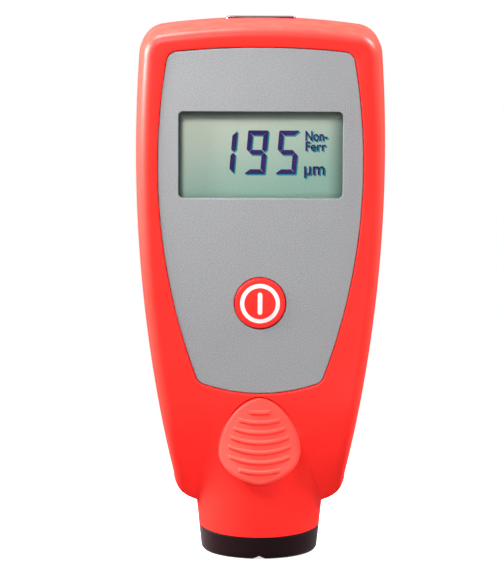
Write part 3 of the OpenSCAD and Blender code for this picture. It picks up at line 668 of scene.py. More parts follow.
    def outline(self, half: Half, off: float, grid: SkinGrid) -> np.ndarray:
        """Rings of the upper body, from the widest height over the top and back down, one for each inset.

        Side, corner and top are arcs that touch, so an inset only makes their radii smaller.

        Args:
            half: Front or rear half.
            off: Distance inside the outer skin.
            grid: Number of points.

        Returns:
            Array of shape (points of the section, points of the outline, 3).
        """
        side = np.array([self.half_w - self.side_r, self.widest_z])
        top = np.array([0.0, self.top_z - self.top_r])
        side_r, top_r = self.side_r - self.corner_r, self.top_r - self.corner_r
        gap = np.hypot(*(top - side))
        way = (top - side) / gap
        along = (gap**2 + side_r**2 - top_r**2) / (2.0 * gap)
        corner = side + along * way + math.sqrt(side_r**2 - along**2) * np.array([-way[1], way[0]])
        start = math.atan2(*(corner - side)[::-1])
        end = math.atan2(*(corner - top)[::-1])
        flank = round((corner[1] - self.widest_z) / grid.step)
        arcs = [
            (side, self.side_r, np.linspace(0.0, start, flank, endpoint=False)),
            (corner, self.corner_r, np.linspace(start, end, grid.corner, endpoint=False)),
            (top, self.top_r, np.linspace(end, np.pi / 2.0, grid.top // 2)),
        ]
        turn = np.concatenate([angles for _, _, angles in arcs])
        centre = np.concatenate([np.tile(spot, (len(angles), 1)) for spot, _, angles in arcs])
        radius = np.concatenate([np.full(len(angles), size) for _, size, angles in arcs])
        inset, depth = self.profile(half, off, grid, np.sin(turn) ** 2)
        reach = radius - off - inset
        x, z = centre[:, 0] + reach * np.cos(turn), centre[:, 1] + reach * np.sin(turn)
        right = np.stack([x, -half.value * depth, z], axis=-1)
        return np.concatenate([right, right[:, -2::-1] * np.array([-1.0, 1.0, 1.0])], axis=1)

    def skin(self, half: Half, off: float, grid: SkinGrid) -> tuple[np.ndarray, np.ndarray]:
        """Points of one skin of a half shell, whose lowest rows lean into the tilted rim of the foot.

        Below the widest height the rows are level sections; above it they follow the outline.

        Args:
            half: Front or rear half.
            off: Distance inside the outer skin.
            grid: Number of points.

        Returns:
            Arrays of shape (sections, directions, 3) and (insets, points, 3).
        """
        inset, depth = (line[:, 0] for line in self.profile(half, off, grid, np.zeros(1)))
        reach = self.half_w - off - inset
        face = np.linspace(reach[-1], -reach[-1], grid.face)[1:-1]
        x = np.concatenate([reach, face, -reach[::-1]])
        f = np.concatenate([depth, np.full(len(face), depth[-1]), depth[::-1]])
        turns = np.arctan2(f, x)
        z, a = self.stations(off, grid.step)
        low = self.shoulder_z - self.shoulder_h + off
        share = np.clip((low - z) / (low - self.foot_h), 0.0, 1.0)
        heights = z[:, None] + share[:, None] * self.rim_rise(half.value * np.sin(turns), off)
        ray = self.rays(turns, heights, a, off, half)
        lower = np.stack([ray * np.cos(turns), -half.value * ray * np.sin(turns), heights], axis=-1)
        return lower, self.outline(half, off, grid)

    def shell(self, name: str, half: Half) -> bpy.types.Object:
        """Makes a hollow half of the housing, with flat rims at the parting plane and the foot.

        Args:
            name: Name of the object.
            half: Front or rear half.

        Returns:
            Closed mesh object.
        """
        points, sheets, rims, feet, base = [], [], [], [], 0
        for off, grid in ((0.0, self.outer), (self.wall, self.inner)):
            lower, upper = self.skin(half, off, grid)
            index = np.arange(lower.shape[0] * lower.shape[1]).reshape(lower.shape[:2]) + base
            above = np.arange(upper.shape[0] * upper.shape[1]).reshape(upper.shape[:2]) + base + index.size
            edge = upper.shape[0]
            face = np.concatenate([above[-1], index[-1, edge : index.shape[1] - edge][::-1]])
            sheets.append(grid_quads(*lower.shape[:2], base=base))
            sheets.append(grid_quads(*upper.shape[:2], base=base + index.size))
            sheets.append(face[None, :])
            rims.append(np.concatenate([index[:-1, 0], above[0], index[-2::-1, -1]]))
            feet.append(index[0])
            points += [lower.reshape(-1, 3), upper.reshape(-1, 3)]
            base += index.size + above.size
        joins = [np.concatenate([line[0], line[1][::-1]])[None, :] for line in (rims, feet)]
        return write_mesh(name, np.concatenate(points), sheets + joins)


@dataclass(frozen=True)
class PlateForm:
    """Outline of the front plate, bowed on all sides, with its openings."""

    half_w: float = 23.5
    side_r: float = 140.0
    side_z: float = 92.0
    top_z: float = 118.9
    top_r: float = 190.0
    low_z: float = 39.2
    low_r: float = 40.0
    corner_r: float = 2.6
    seat_f: float = 12.9
    face_f: float = 14.1
    back_f: float = 11.9
    edge_r: float = 0.3
    collar_t: float = 1.0
    window_w: float = 37.6
    window_h: float = 20.0
    window_z: float = 94.3
    window_corner_r: float = 1.1
    button_z: float = 60.2
    button_hole_r: float = 6.05
    arc_points: int = 64
    corner_points: int = 18

    def outline(self, grow: float = 0.0) -> np.ndarray:
        """Outline of the plate: four wide arcs joined by round corners.

        Each corner's centre is where the two neighbouring circles meet after both are drawn in by
        the corner radius, and each arc runs between the directions of its two corners.

        Args:
            grow: Distance by which the outline is moved outwards.

        Returns:
            Array of shape (points, 2) with x and z.
        """
        centres = np.array(
            [
                [self.half_w - self.side_r, self.side_z],
                [0.0, self.top_z - self.top_r],
                [self.side_r - self.half_w, self.side_z],
                [0.0, self.low_z + self.low_r],
            ]
        )
        radii = np.array([self.side_r, self.top_r, self.side_r, self.low_r]) - self.corner_r
        after, after_r = np.roll(centres, -1, axis=0), np.roll(radii, -1)
        gap = np.hypot(*(after - centres).T)
        along = (gap**2 + radii**2 - after_r**2) / (2.0 * gap)
        away = np.sqrt(radii**2 - along**2)
        unit = (after - centres) / gap[:, None]
        normal = np.column_stack([-unit[:, 1], unit[:, 0]])
        middle = centres + unit * along[:, None]
        wanted = np.array([[1, 1], [-1, 1], [-1, -1], [1, -1]])
        side = np.sign(np.sum(normal * wanted, axis=1))[:, None]
        corners = middle + side * normal * away[:, None]
        before = np.roll(corners, 1, axis=0)
        start = np.arctan2(*(before - centres).T[::-1])
        end = np.arctan2(*(corners - centres).T[::-1])
        next_start = np.arctan2(*(corners - after).T[::-1])
        parts = []
        for arc in range(4):
            sweep = (end[arc] - start[arc]) % (2.0 * np.pi)
            t = start[arc] + sweep * np.linspace(0.0, 1.0, self.arc_points)
            reach = radii[arc] + self.corner_r + grow
            parts.append(centres[arc] + reach * np.column_stack([np.cos(t), np.sin(t)]))
            bend = (next_start[arc] - end[arc]) % (2.0 * np.pi)
            t = end[arc] + bend * np.linspace(0.0, 1.0, self.corner_points)[1:-1]
            reach = self.corner_r + grow
            parts.append(corners[arc] + reach * np.column_stack([np.cos(t), np.sin(t)]))
        return np.concatenate(parts)

    def window(self, grow: float = 0.0) -> np.ndarray:
        """Outline of the display opening.

        Args:
            grow: Distance by which the outline is moved outwards.

        Returns:
            Array of shape (points, 2) with x and z.
        """
        size = (self.window_w + 2.0 * grow, self.window_h + 2.0 * grow)
        return rectangle_loop(0.0, self.window_z, *size, self.window_corner_r + grow)

    def button(self, grow: float = 0.0) -> np.ndarray:
        """Outline of the button hole.

        Args:
            grow: Distance by which the outline is moved outwards.

        Returns:
            Array of shape (points, 2) with x and z.
        """
        return circle_loop(0.0, self.button_z, self.button_hole_r + grow)


def block(low: Sequence[float], high: Sequence[float]) -> bpy.types.Object:
    """Makes a tool in the shape of a plain box.

    Args:
        low: Lowest corner.
        high: Highest corner.

    Returns:
        Closed mesh object.
    """
    x, y, z = np.array([low, high], dtype=float).T
    loop = np.array([[x[0], y[0]], [x[1], y[0]], [x[1], y[1]], [x[0], y[1]]])
    return loft("tool", np.stack([np.column_stack([loop, np.full(4, height)]) for height in z]))


def rod(x: float, z: float, radius: float, f0: float, f1: float) -> bpy.types.Object:
    """Makes a tool in the shape of a round bar along the depth.

    Args:
        x: Centre across.
        z: Centre up.
        radius: Radius.
        f0: Depth of one end.
        f1: Depth of the other end.

    Returns:
        Closed mesh object.
    """
    loop = circle_loop(x, z, radius, ROD_SIDES)
    return loft("tool", slab_rings([loop, loop], [f0, f1]))


def flared_hole(
    draw: Callable[[float], np.ndarray], low: float, face: float, flare: float, over: float
) -> bpy.types.Object:
    """Makes a tool for an opening whose mouth spreads in a small chamfer.

    Args:
        draw: Gives the opening's outline, moved outwards by a distance.
        low: Depth of the opening's floor.
        face: Depth of the face that it opens in.
        flare: Depth of the spread mouth.
        over: Distance by which the tool stands out of the face.

    Returns:
        Closed mesh object.
    """
    chamfer = MOUTH_SHARE * flare
    rim = [(low, 0.0), (face - flare, 0.0), (face - chamfer, chamfer)]
    rim.append((face + over, chamfer + MOUTH_SLOPE * over))
    return loft("tool", slab_rings([draw(grow) for _, grow in rim], [f for f, _ in rim]))


def round_edge(depth: float, radius: float, steps: int = 5) -> list[tuple[float, float]]:
    """Profile of a rounded front edge as pairs of depth and inset.

    Args:
        depth: Depth of the face.
        radius: Radius of the edge.
        steps: Points on the quarter circle.

    Returns:
        Pairs from the side wall to the face.
    """
    turn = np.linspace(0.0, np.pi / 2.0, steps)
    return list(zip(depth - radius * (1.0 - np.sin(turn)), radius * (1.0 - np.cos(turn))))


@dataclass(frozen=True)
class FrontPlate:
    """Silver-grey inlay with its display opening and button hole."""

    plate: PlateForm
    over: float = 1.0
    window_flare: float = 0.2
    hole_flare: float = 0.08

    def build(self) -> bpy.types.Object:
        """Makes the plate.

        Returns:
            Mesh object.
        """
        plate = self.plate
        rim = [(plate.seat_f, 0.0), *round_edge(plate.face_f, plate.edge_r)]
        loops = [plate.outline(-inset) for _, inset in rim]
        piece = loft("front_inlay", slab_rings(loops, [f for f, _ in rim]))
        collar = plate.window(plate.collar_t)
        middle = (plate.seat_f + plate.face_f) / 2.0
        solid(piece, [loft("tool", slab_rings([collar, collar], [plate.back_f, middle]))], Solid.ADD)
        low = plate.back_f - self.over
        window = flared_hole(plate.window, low, plate.face_f, self.window_flare, self.over)
        hole = flared_hole(plate.button, low, plate.face_f, self.hole_flare, self.over)
        solid(piece, [window, hole])
        shade(piece, level=True)
        return piece


@dataclass(frozen=True)
class ThumbPad:
    """Lighter red inlay on the hump, with seven curved ridges."""

    form: HousingForm
    rows: int = 420
    cols: int = 111
    sharp: float = 50.0

    def build(self) -> bpy.types.Object:
        """Makes the pad: rows across the egg, a barrel face with ridges and round edges, a wedge back.

        The face falls by R - sqrt(R^2 - x^2) from the middle, rises by the ridges, and drops by a
        quarter circle within the edge radius of the outline.

        Returns:
            Mesh object.
        """
        pad = self.form.pad
        y = -pad.height / 2.0 * np.cos(np.linspace(0.0, np.pi, self.rows))[:, None]
        a = np.sin(np.linspace(-np.pi / 2.0, np.pi / 2.0, self.cols))[None, :]
        half = pad.half(y)
        x = a * half
        y = np.broadcast_to(y, x.shape)
        slope = np.gradient(half[:, 0], y[:, 0])[:, None]
        edge = (half - np.abs(x)) / np.sqrt(1.0 + slope**2)
        into = np.clip(1.0 - edge / pad.edge_r, 0.0, 1.0)
        barrel = np.sqrt(pad.curve_r**2 - x**2) - pad.curve_r
        rounding = pad.edge_r * (1.0 - np.sqrt(1.0 - into**2))
        face = np.stack([x, y, barrel + pad.ridges(x, y) - rounding], axis=-1)
        rim = np.concatenate([face[:, 0], face[1:-1, -1][::-1]])
        back = np.column_stack([rim[:, :2], pad.back(rim[:, 1])])
        points = pad.to_frame(np.concatenate([face.reshape(-1, 3), back]), self.form.pad_mid())
        index = np.arange(self.rows * self.cols).reshape(self.rows, self.cols)
        upper = np.concatenate([index[:, 0], index[1:-1, -1][::-1]])
        lower = np.arange(len(rim)) + index.size
        wall = np.column_stack([upper, np.roll(upper, -1), np.roll(lower, -1), lower])
        piece = write_mesh("thumb_inlay", points, [grid_quads(self.rows, self.cols), wall, lower[None, :]])
        shade(piece, self.sharp)
        return piece


@dataclass(frozen=True)
class PowerButton:
    """Domed red cap with a white ring and bar moulded into it."""

    plate: PlateForm
    radius: float = 5.8
    rim_f: float = 14.6
    dome_r: float = 40.0
    edge_r: float = 0.45
    back_f: float = 10.7
    flange_t: float = 0.9
    flange_r: float = 7.5
    legend_r: float = 4.56
    legend_w: float = 0.94
    bar_w: float = 1.06
    bar_l: float = 5.1
    bar_round: float = 0.499
    bar_shrink: tuple[float, ...] = (1.0, 1.0, 0.66, 0.33)
    legend_t: float = 0.5
    legend_proud: float = 0.03
    sides: int = 128
    ring_steps: int = 5
    bar_steps: int = 12
    edge_steps: int = 7
    face_steps: int = 14

    def dome(self, radius: np.ndarray) -> np.ndarray:
        """Depth of the domed face, a ball of the dome radius that passes through the rim.

        Args:
            radius: Distances from the button's axis.

        Returns:
            Depths in front of the parting plane.
        """
        drop = math.sqrt(self.dome_r**2 - self.radius**2)
        return self.rim_f - drop + np.sqrt(self.dome_r**2 - np.asarray(radius) ** 2)

    def legend(self, name: str, proud: float) -> bpy.types.Object:
        """Makes the ring and the bar, whose tops follow the dome.

        Args:
            name: Name of the object.
            proud: Height of their tops over the dome.

        Returns:
            Mesh object.
        """
        z, floor = self.plate.button_z, self.rim_f - self.legend_t
        r = np.linspace(self.legend_r - self.legend_w, self.legend_r, self.ring_steps)
        under = np.column_stack([r[::-1], np.full(len(r), floor)])
        profile = np.concatenate([np.column_stack([r, self.dome(r) + proud]), under])
        ring = loft(name, forwards(spin_rings(profile, self.sides), 0.0, z), closed=True)
        bar = rectangle_loop(0.0, 0.0, self.bar_w, self.bar_l, self.bar_round * self.bar_w, self.bar_steps)
        top = bar[None, :, :] * np.array(self.bar_shrink)[:, None, None]
        height = self.dome(np.hypot(top[..., 0], top[..., 1])) + proud
        height[0] = floor
        rings = np.stack([top[..., 0], -height, top[..., 1] + z], axis=-1)
        solid(ring, [loft("tool", rings)], Solid.ADD)
        shade(ring)
        return ring

    def build(self) -> bpy.types.Object:
        """Makes the cap: a turned profile with a round edge and a flange, grooved for the legend.

        Returns:
            Mesh object.
        """
        turn = np.linspace(0.0, np.pi / 2.0, self.edge_steps)
        flat = self.radius - self.edge_r
        face = np.linspace(0.0, flat, self.face_steps)
        edge = np.column_stack(
            [flat + self.edge_r * np.sin(turn), self.dome(flat) - self.edge_r * (1.0 - np.cos(turn))]
        )
        step, wide, back = self.back_f + self.flange_t, self.flange_r, self.back_f
        skirt = np.array([[self.radius, step], [wide, step], [wide, back], [0.0, back]])
        profile = np.concatenate([np.column_stack([face, self.dome(face)]), edge[1:], skirt])
        cap = loft("power_cap", forwards(spin_rings(profile, self.sides), 0.0, self.plate.button_z))
        solid(cap, [self.legend("tool", self.legend_t)])
        shade(cap)
        return cap


@dataclass(frozen=True)
class ProbeFoot:
    """Black foot ring with rounded lower edge, tilted bevelled rim and a V groove across its face."""

    form: HousingForm
    draft: float = 0.45
    edge_r: float = 1.3
    bevel: float = 0.28
    bore_r: float = 6.48
    floor: float = 1.2
    nose_hole_r: float = 3.55
    spigot_r: float = 11.1
    spigot_top: float = 13.8
    groove_w: float = 3.3
    groove_t: float = 0.85
    mouth_w: float = 0.6
    mouth_t: float = 0.3
    over: float = 1.0
    sides: int = 144
    edge_steps: int = 9

    def build(self) -> bpy.types.Object:
        """Makes the foot as a turned profile whose rim is lifted onto the hump's tilted edge.

        Returns:
            Mesh object.
        """
        turn = np.linspace(0.0, np.pi / 2.0, self.edge_steps)
        radius, height = self.form.hump_r0, self.form.foot_h
        low_r = radius - self.draft
        edge = np.column_stack(
            [low_r - self.edge_r * (1.0 - np.sin(turn)), self.edge_r * (1.0 - np.cos(turn))]
        )
        rest = [
            [radius, height - self.bevel],
            [radius - self.bevel, height],
            [self.spigot_r, height],
            [self.spigot_r, self.spigot_top],
            [self.bore_r, self.spigot_top],
            [self.bore_r, self.floor],
            [self.nose_hole_r, self.floor],
            [self.nose_hole_r, 0.0],
        ]
        rings = spin_rings(np.concatenate([edge, rest]), self.sides)
        rise = self.form.rim_rise(-np.sin(np.linspace(0.0, 2.0 * np.pi, self.sides, endpoint=False)), 0.0)
        rings[len(edge) : len(edge) + 3, :, 2] += rise
        widen = 1.0 + rise * math.tan(math.radians(self.form.hump_taper)) / radius
        rings[len(edge) : len(edge) + 2, :, :2] *= widen[:, None]
        foot = loft("probe_ring", rings, closed=True)
        half, reach = self.groove_w / 2.0, radius + self.over
        wide, under = half + self.mouth_w, -self.mouth_t
        notch = np.array([[-wide, under], [-half, 0.0], [0.0, self.groove_t], [half, 0.0], [wide, under]])
        solid(foot, [loft("tool", slab_rings([notch, notch], [-reach, reach]))])
        shade(foot)
        return foot


@dataclass(frozen=True)
class EndWindow:
    """Dark window over the top edge, crowned across the width."""

    half_w: float = 8.2
    side_gap: float = 0.05
    half_d: float = 1.5
    middle_y: float = 12.3
    low_z: float = 120.3
    top_z: float = 124.85
    crown_r: float = 60.0
    corner_r: float = 0.8
    edge_r: float = 0.25
    least_r: float = 0.02
    insets: tuple[float, ...] = (0.7, 1.1, 1.45)

    def build(self) -> bpy.types.Object:
        """Makes the window as stacked rounded rectangles whose top follows the crown's circle.

        Returns:
            Mesh object.
        """
        rim = [(self.low_z, 0.0), *round_edge(self.top_z, self.edge_r)]
        rim += [(self.top_z, inset) for inset in self.insets]
        rings = []
        for top, inset in rim:
            size = (2.0 * (self.half_w - inset), 2.0 * (self.half_d - inset))
            loop = rectangle_loop(0.0, self.middle_y, *size, max(self.least_r, self.corner_r - inset))
            drop = self.crown_r - np.sqrt(self.crown_r**2 - loop[:, 0] ** 2)
            height = np.full(len(loop), top) - (drop if top > self.low_z else 0.0)
            rings.append(np.column_stack([loop, height]))
        piece = loft("end_lens", np.stack(rings))
        shade(piece)
        return piece


@dataclass(frozen=True)
class BatteryDoor:
    """Door in the back with hooked lugs, a rounded edge and grip grooves."""

    half: float = 15.3
    low: float = 42.0
    height: float = 60.0
    inside_y: float = 16.5
    outside_y: float = 18.5
    edge_r: float = 0.4
    corner_r: float = 0.7
    lug_x: float = 8.5
    lug_half: float = 3.0
    lug_t: float = 1.8
    lug_y: float = 15.6
    lug_reach: float = 2.2
    lug_h: float = 2.4
    grip_count: int = 5
    grip_pitch: float = 2.0
    grip_low: float = 6.0
    grip_r: float = 0.6
    grip_half: float = 7.65
    grip_run: float = 1.0
    grip_end: float = 0.2
    grip_sides: int = 20
    root: float = 0.3

    def build(self) -> bpy.types.Object:
        """Makes the door as a rounded slab, with its lugs added and its grip grooves cut.

        Returns:
            Mesh object.
        """
        rim = [(self.inside_y, 0.0), *round_edge(self.outside_y, self.edge_r)]
        middle, top = self.low + self.height / 2.0, self.low + self.height
        loops = [
            rectangle_loop(0.0, middle, 2.0 * (self.half - inset), self.height - 2.0 * inset, self.corner_r)
            for _, inset in rim
        ]
        door = loft("battery_cover", slab_rings(loops, [-y for y, _ in rim]))
        lugs = []
        for x in (-self.lug_x, self.lug_x):
            low = [x - self.lug_half, self.lug_y - self.lug_t, top - self.lug_h]
            right = x + self.lug_half
            lugs.append(block(low, [right, self.lug_y, top + self.lug_reach]))
            lugs.append(block(low, [right, self.inside_y + self.root, top]))
        solid(door, lugs, Solid.ADD)
        turn = np.linspace(0.0, 2.0 * np.pi, self.grip_sides, endpoint=False)
        ring = np.column_stack([np.zeros(len(turn)), self.grip_r * np.cos(turn), self.grip_r * np.sin(turn)])
        full, half = self.grip_half - self.grip_run, self.grip_half
        spots = [(-half, self.grip_end), (-full, 1.0), (full, 1.0), (half, self.grip_end)]
        grooves = []
        for step in range(self.grip_count):
            centre = np.array([0.0, self.outside_y, self.low + self.grip_low + self.grip_pitch * step])
            ends = [ring * scale + centre + [side, 0.0, 0.0] for side, scale in spots]
            grooves.append(loft("tool", np.stack(ends)))
        solid(door, grooves)
        shade(door)
        return door


@dataclass(frozen=True)
class Housing:
    """Front and rear shells with their recesses, openings, battery bay and screw wells."""

    form: HousingForm
    plate: PlateForm
    door: BatteryDoor
    end: EndWindow
    flare: float = 0.35
    over: float = 1.0
    root: float = 0.4
    door_gap: float = 0.3
    mouth_r: float = 0.9
    bay_half: float = 13.4
    bay_z: float = 43.0
    bay_wall: float = 1.2
    bay_floor: float = -0.6
    bay_top: float = 107.4
    screw_x: float = 18.0
    screw_top_z: float = 113.0
    screw_low_z: float = 39.0
    screw_seat_y: float = 9.5
    head_hole_r: float = 2.7
    tube_wall: float = 0.8
    tube_floor: float = 3.0
    shank_hole_r: float = 1.6
    shank_reach: float = 4.0
    sharp: float = 50.0

    def end_slot(self) -> bpy.types.Object:
        """Tool for the slot of the end window.

        Returns:
            Closed mesh object.
        """
        half = np.array([self.end.half_w + self.end.side_gap, self.end.half_d + self.form.inlay_gap])
        middle = np.array([0.0, self.end.middle_y])
        low, high = self.form.top_z - 2.0 * self.form.wall, self.form.top_z + self.over
        return block([*(middle - half), low], [*(middle + half), high])

    def recess(self) -> bpy.types.Object:
        """Tool for the plate's recess, whose mouth is flared by a small chamfer.

        Returns:
            Closed mesh object.
        """
        gap, floor, face = self.form.inlay_gap, self.plate.seat_f, self.form.front_d
        return flared_hole(lambda grow: self.plate.outline(gap + grow), floor, face, self.flare, self.over)

    def pocket(self) -> bpy.types.Object:
        """Tool for the thumb pad's pocket.

        Returns:
            Closed mesh object.
        """
        pad = self.form.pad
        loop = pad.loop(self.form.inlay_gap)
        low = np.column_stack([loop, pad.back(loop[:, 1])])
        high = np.column_stack([loop, np.full(len(loop), pad.low_t)])
        return loft("tool", pad.to_frame(np.stack([low, high]), self.form.pad_mid()))

    def build_front(self) -> bpy.types.Object:
        """Makes the front shell.

        Returns:
            Mesh object.
        """
        shell = self.form.shell("front_housing", Half.FRONT)
        inside = self.form.front_d - self.form.wall - self.over
        window = self.plate.window(self.plate.collar_t + self.form.inlay_gap)
        hole = self.plate.button(self.form.inlay_gap)
        tools = [
            self.recess(),
            loft("tool", slab_rings([window, window], [inside, self.form.front_d])),
            loft("tool", slab_rings([hole, hole], [inside, self.form.front_d])),
            self.pocket(),
        ]
        solid(shell, tools)
        shade(shell, self.sharp)
        return shell

    def build_rear(self) -> bpy.types.Object:
        """Makes the rear shell with its battery bay.

        Returns:
            Mesh object.
        """
        shell = self.form.shell("rear_housing", Half.REAR)
        inner, back = self.form.back_d - self.form.wall, self.form.back_d
        wall, half, gap, door = self.bay_wall, self.bay_half, self.door_gap, self.door
        rows = (self.screw_top_z, self.screw_low_z)
        spots = [(x, z) for x in (-self.screw_x, self.screw_x) for z in rows]
        bay = block(
            [-half - wall, self.bay_floor - wall, self.bay_z - wall],
            [half + wall, inner + self.root, self.bay_top + wall],
        )
        tube_r = self.head_hole_r + self.tube_wall
        tube = (tube_r, -inner - self.root, self.tube_floor - self.screw_seat_y)
        tubes = [rod(x, z, *tube) for x, z in spots]
        solid(shell, [bay, *tubes], Solid.ADD)
        door_top, door_t = door.low + door.height, door.outside_y - door.inside_y
        size = (2.0 * (door.half + gap), door.height + 2.0 * gap)
        mouth = rectangle_loop(0.0, door.low + door.height / 2.0, *size, self.mouth_r)
        tools = [
            block([-half, self.bay_floor, self.bay_z], [half, inner, self.bay_top]),
            block([-half, self.bay_floor, self.bay_z], [half, back, door_top - wall]),
            loft("tool", slab_rings([mouth, mouth], [-back - self.over, door_t - back])),
            self.end_slot(),
        ]
        for x in (-door.lug_x, door.lug_x):
            reach = door.lug_half + gap
            low = [x - reach, inner - self.over, door_top - 2.0 * wall]
            tools.append(block(low, [x + reach, back, door_top + gap]))
        for x, z in spots:
            tools.append(rod(x, z, self.head_hole_r, -back - self.over, -self.screw_seat_y))
            tools.append(rod(x, z, self.shank_hole_r, -back, self.shank_reach - self.screw_seat_y))
        solid(shell, tools)
        shade(shell)
        return shell


Colour = tuple[float, float, float, float]


def srgb(red: int, green: int, blue: int) -> Colour:
    """Turns a display colour into the linear colour that shaders use.

    Args:
        red: Red from 0 to 255.
        green: Green from 0 to 255.
        blue: Blue from 0 to 255.

    Returns:
        Linear colour with full alpha.
    """
    share = np.array([red, green, blue]) / 255.0
    linear = np.where(share <= 0.04045, share / 12.92, ((share + 0.055) / 1.055) ** 2.4)
    return (*linear.tolist(), 1.0)


class Graph:
    """Adds and links the nodes of one shader tree."""

    def __init__(self, tree: bpy.types.NodeTree) -> None:
        """Keeps the tree.

        Args:
            tree: Tree of a material, a world or a node group.
        """
        self.tree = tree

    def add(self, kind: str, **inputs: object) -> bpy.types.Node:
        """Adds a node and sets or links its inputs.

        Args:
            kind: Type name of the node.
            inputs: Values or output sockets by input name, with spaces written as underscores.

        Returns:
            The new node.
        """
        node = self.tree.nodes.new(kind)
        for name, value in inputs.items():
            self.feed(node.inputs[name.replace("_", " ")], value)
        return node

    def feed(self, socket: bpy.types.NodeSocket, value: object) -> None:
        """Links an output to an input, or sets the input's value.

        Args:
            socket: Input socket.
            value: Output socket, number or colour.
        """
        if isinstance(value, bpy.types.NodeSocket):
            self.tree.links.new(value, socket)
        else:
            socket.default_value = value

    def sums(self, operation: str, *terms: object, clamp: bool = False) -> bpy.types.NodeSocket:
        """Adds a math node.

        Args:
            operation: Name of the operation.
            terms: Numbers or output sockets.
            clamp: Whether the result stays from 0 to 1.

        Returns:
            Output of the node.
        """
        node = self.tree.nodes.new("ShaderNodeMath")
        node.operation = operation
        node.use_clamp = clamp
        for socket, term in zip(node.inputs, terms):
            self.feed(socket, term)
        return node.outputs[0]

    def ramp(
        self, value: object, low: float, high: float, first: float = 0.0, last: float = 1.0
    ) -> bpy.types.NodeSocket:
        """Maps a range of values to another one, clamped and smooth.

        Args:
            value: Output socket or number.
            low: Value that gives first.
            high: Value that gives last.
            first: Result at low.
            last: Result at high.

        Returns:
            Output of the node.
        """
        node = self.tree.nodes.new("ShaderNodeMapRange")
        node.interpolation_type = "SMOOTHSTEP"
        for socket, term in zip(node.inputs, (value, low, high, first, last)):
            self.feed(socket, term)
        return node.outputs[0]

    def mix(self, share: object, first: object, second: object) -> bpy.types.NodeSocket:
        """Mixes two colours.

        Args:
            share: Share of the second colour.
            first: First colour.
            second: Second colour.

        Returns:
            Output of the node.
        """
        node = self.tree.nodes.new("ShaderNodeMix")
        node.data_type = "RGBA"
        for index, value in ((0, share), (6, first), (7, second)):
            self.feed(node.inputs[index], value)
        return node.outputs[2]

    def noise(self, vector: object, scale: object, detail: float = 2.0) -> bpy.types.NodeSocket:
        """Adds a noise texture.

        Args:
            vector: Place that the noise is taken at.
            scale: Features to the metre.
            detail: Number of finer layers.

        Returns:
            Output of the node, about 0.5 on average.
        """
        node = self.add("ShaderNodeTexNoise", Vector=vector, Scale=scale, Detail=detail)
        return node.outputs[0]

    def place(self) -> bpy.types.NodeSocket:
        """Gives the place on the piece in its own metres.

        Returns:
            Output socket with a vector.
        """
        return self.tree.nodes.new("ShaderNodeTexCoord").outputs["Object"]

    def group(self, tree: bpy.types.NodeTree, **inputs: object) -> bpy.types.Node:
        """Adds a shared node group and sets or links its inputs.

        Args:
            tree: The group's tree.
            inputs: Values or output sockets by input name.

        Returns:
            The new node.
        """
        node = self.tree.nodes.new("ShaderNodeGroup")
        node.node_tree = tree
        for name, value in inputs.items():
            self.feed(node.inputs[name], value)
        return node


def new_group(
    name: str, inputs: dict[str, str], outputs: dict[str, str]
) -> tuple[Graph, bpy.types.Node, bpy.types.Node]:
    """Starts a shared shader node group.

    Args:
        name: Name of the group.
        inputs: Socket types by input name.
        outputs: Socket types by output name.

    Returns:
        The graph, its input node and its output node.
    """
    tree = bpy.data.node_groups.new(name, "ShaderNodeTree")
    for label, kind in inputs.items():
        tree.interface.new_socket(label, in_out="INPUT", socket_type=kind)
    for label, kind in outputs.items():
        tree.interface.new_socket(label, in_out="OUTPUT", socket_type=kind)
    graph = Graph(tree)
    return graph, tree.nodes.new("NodeGroupInput"), tree.nodes.new("NodeGroupOutput")


FLOAT, VECTOR = "NodeSocketFloat", "NodeSocketVector"
MOTTLE_SCALE = 0.035
PITS = (0.35, 0.65)
MOTTLE = (0.3, 0.7)
PATCHES = (0.42, 0.62)
UPWARD = (0.5, 1.0)
BENT = (0.8, 0.98, 1.0, 0.0)
EDGE_RADIUS = 0.3
EDGE_SAMPLES = 4
DUST = srgb(214, 206, 198)
BRIGHT = srgb(236, 236, 232)


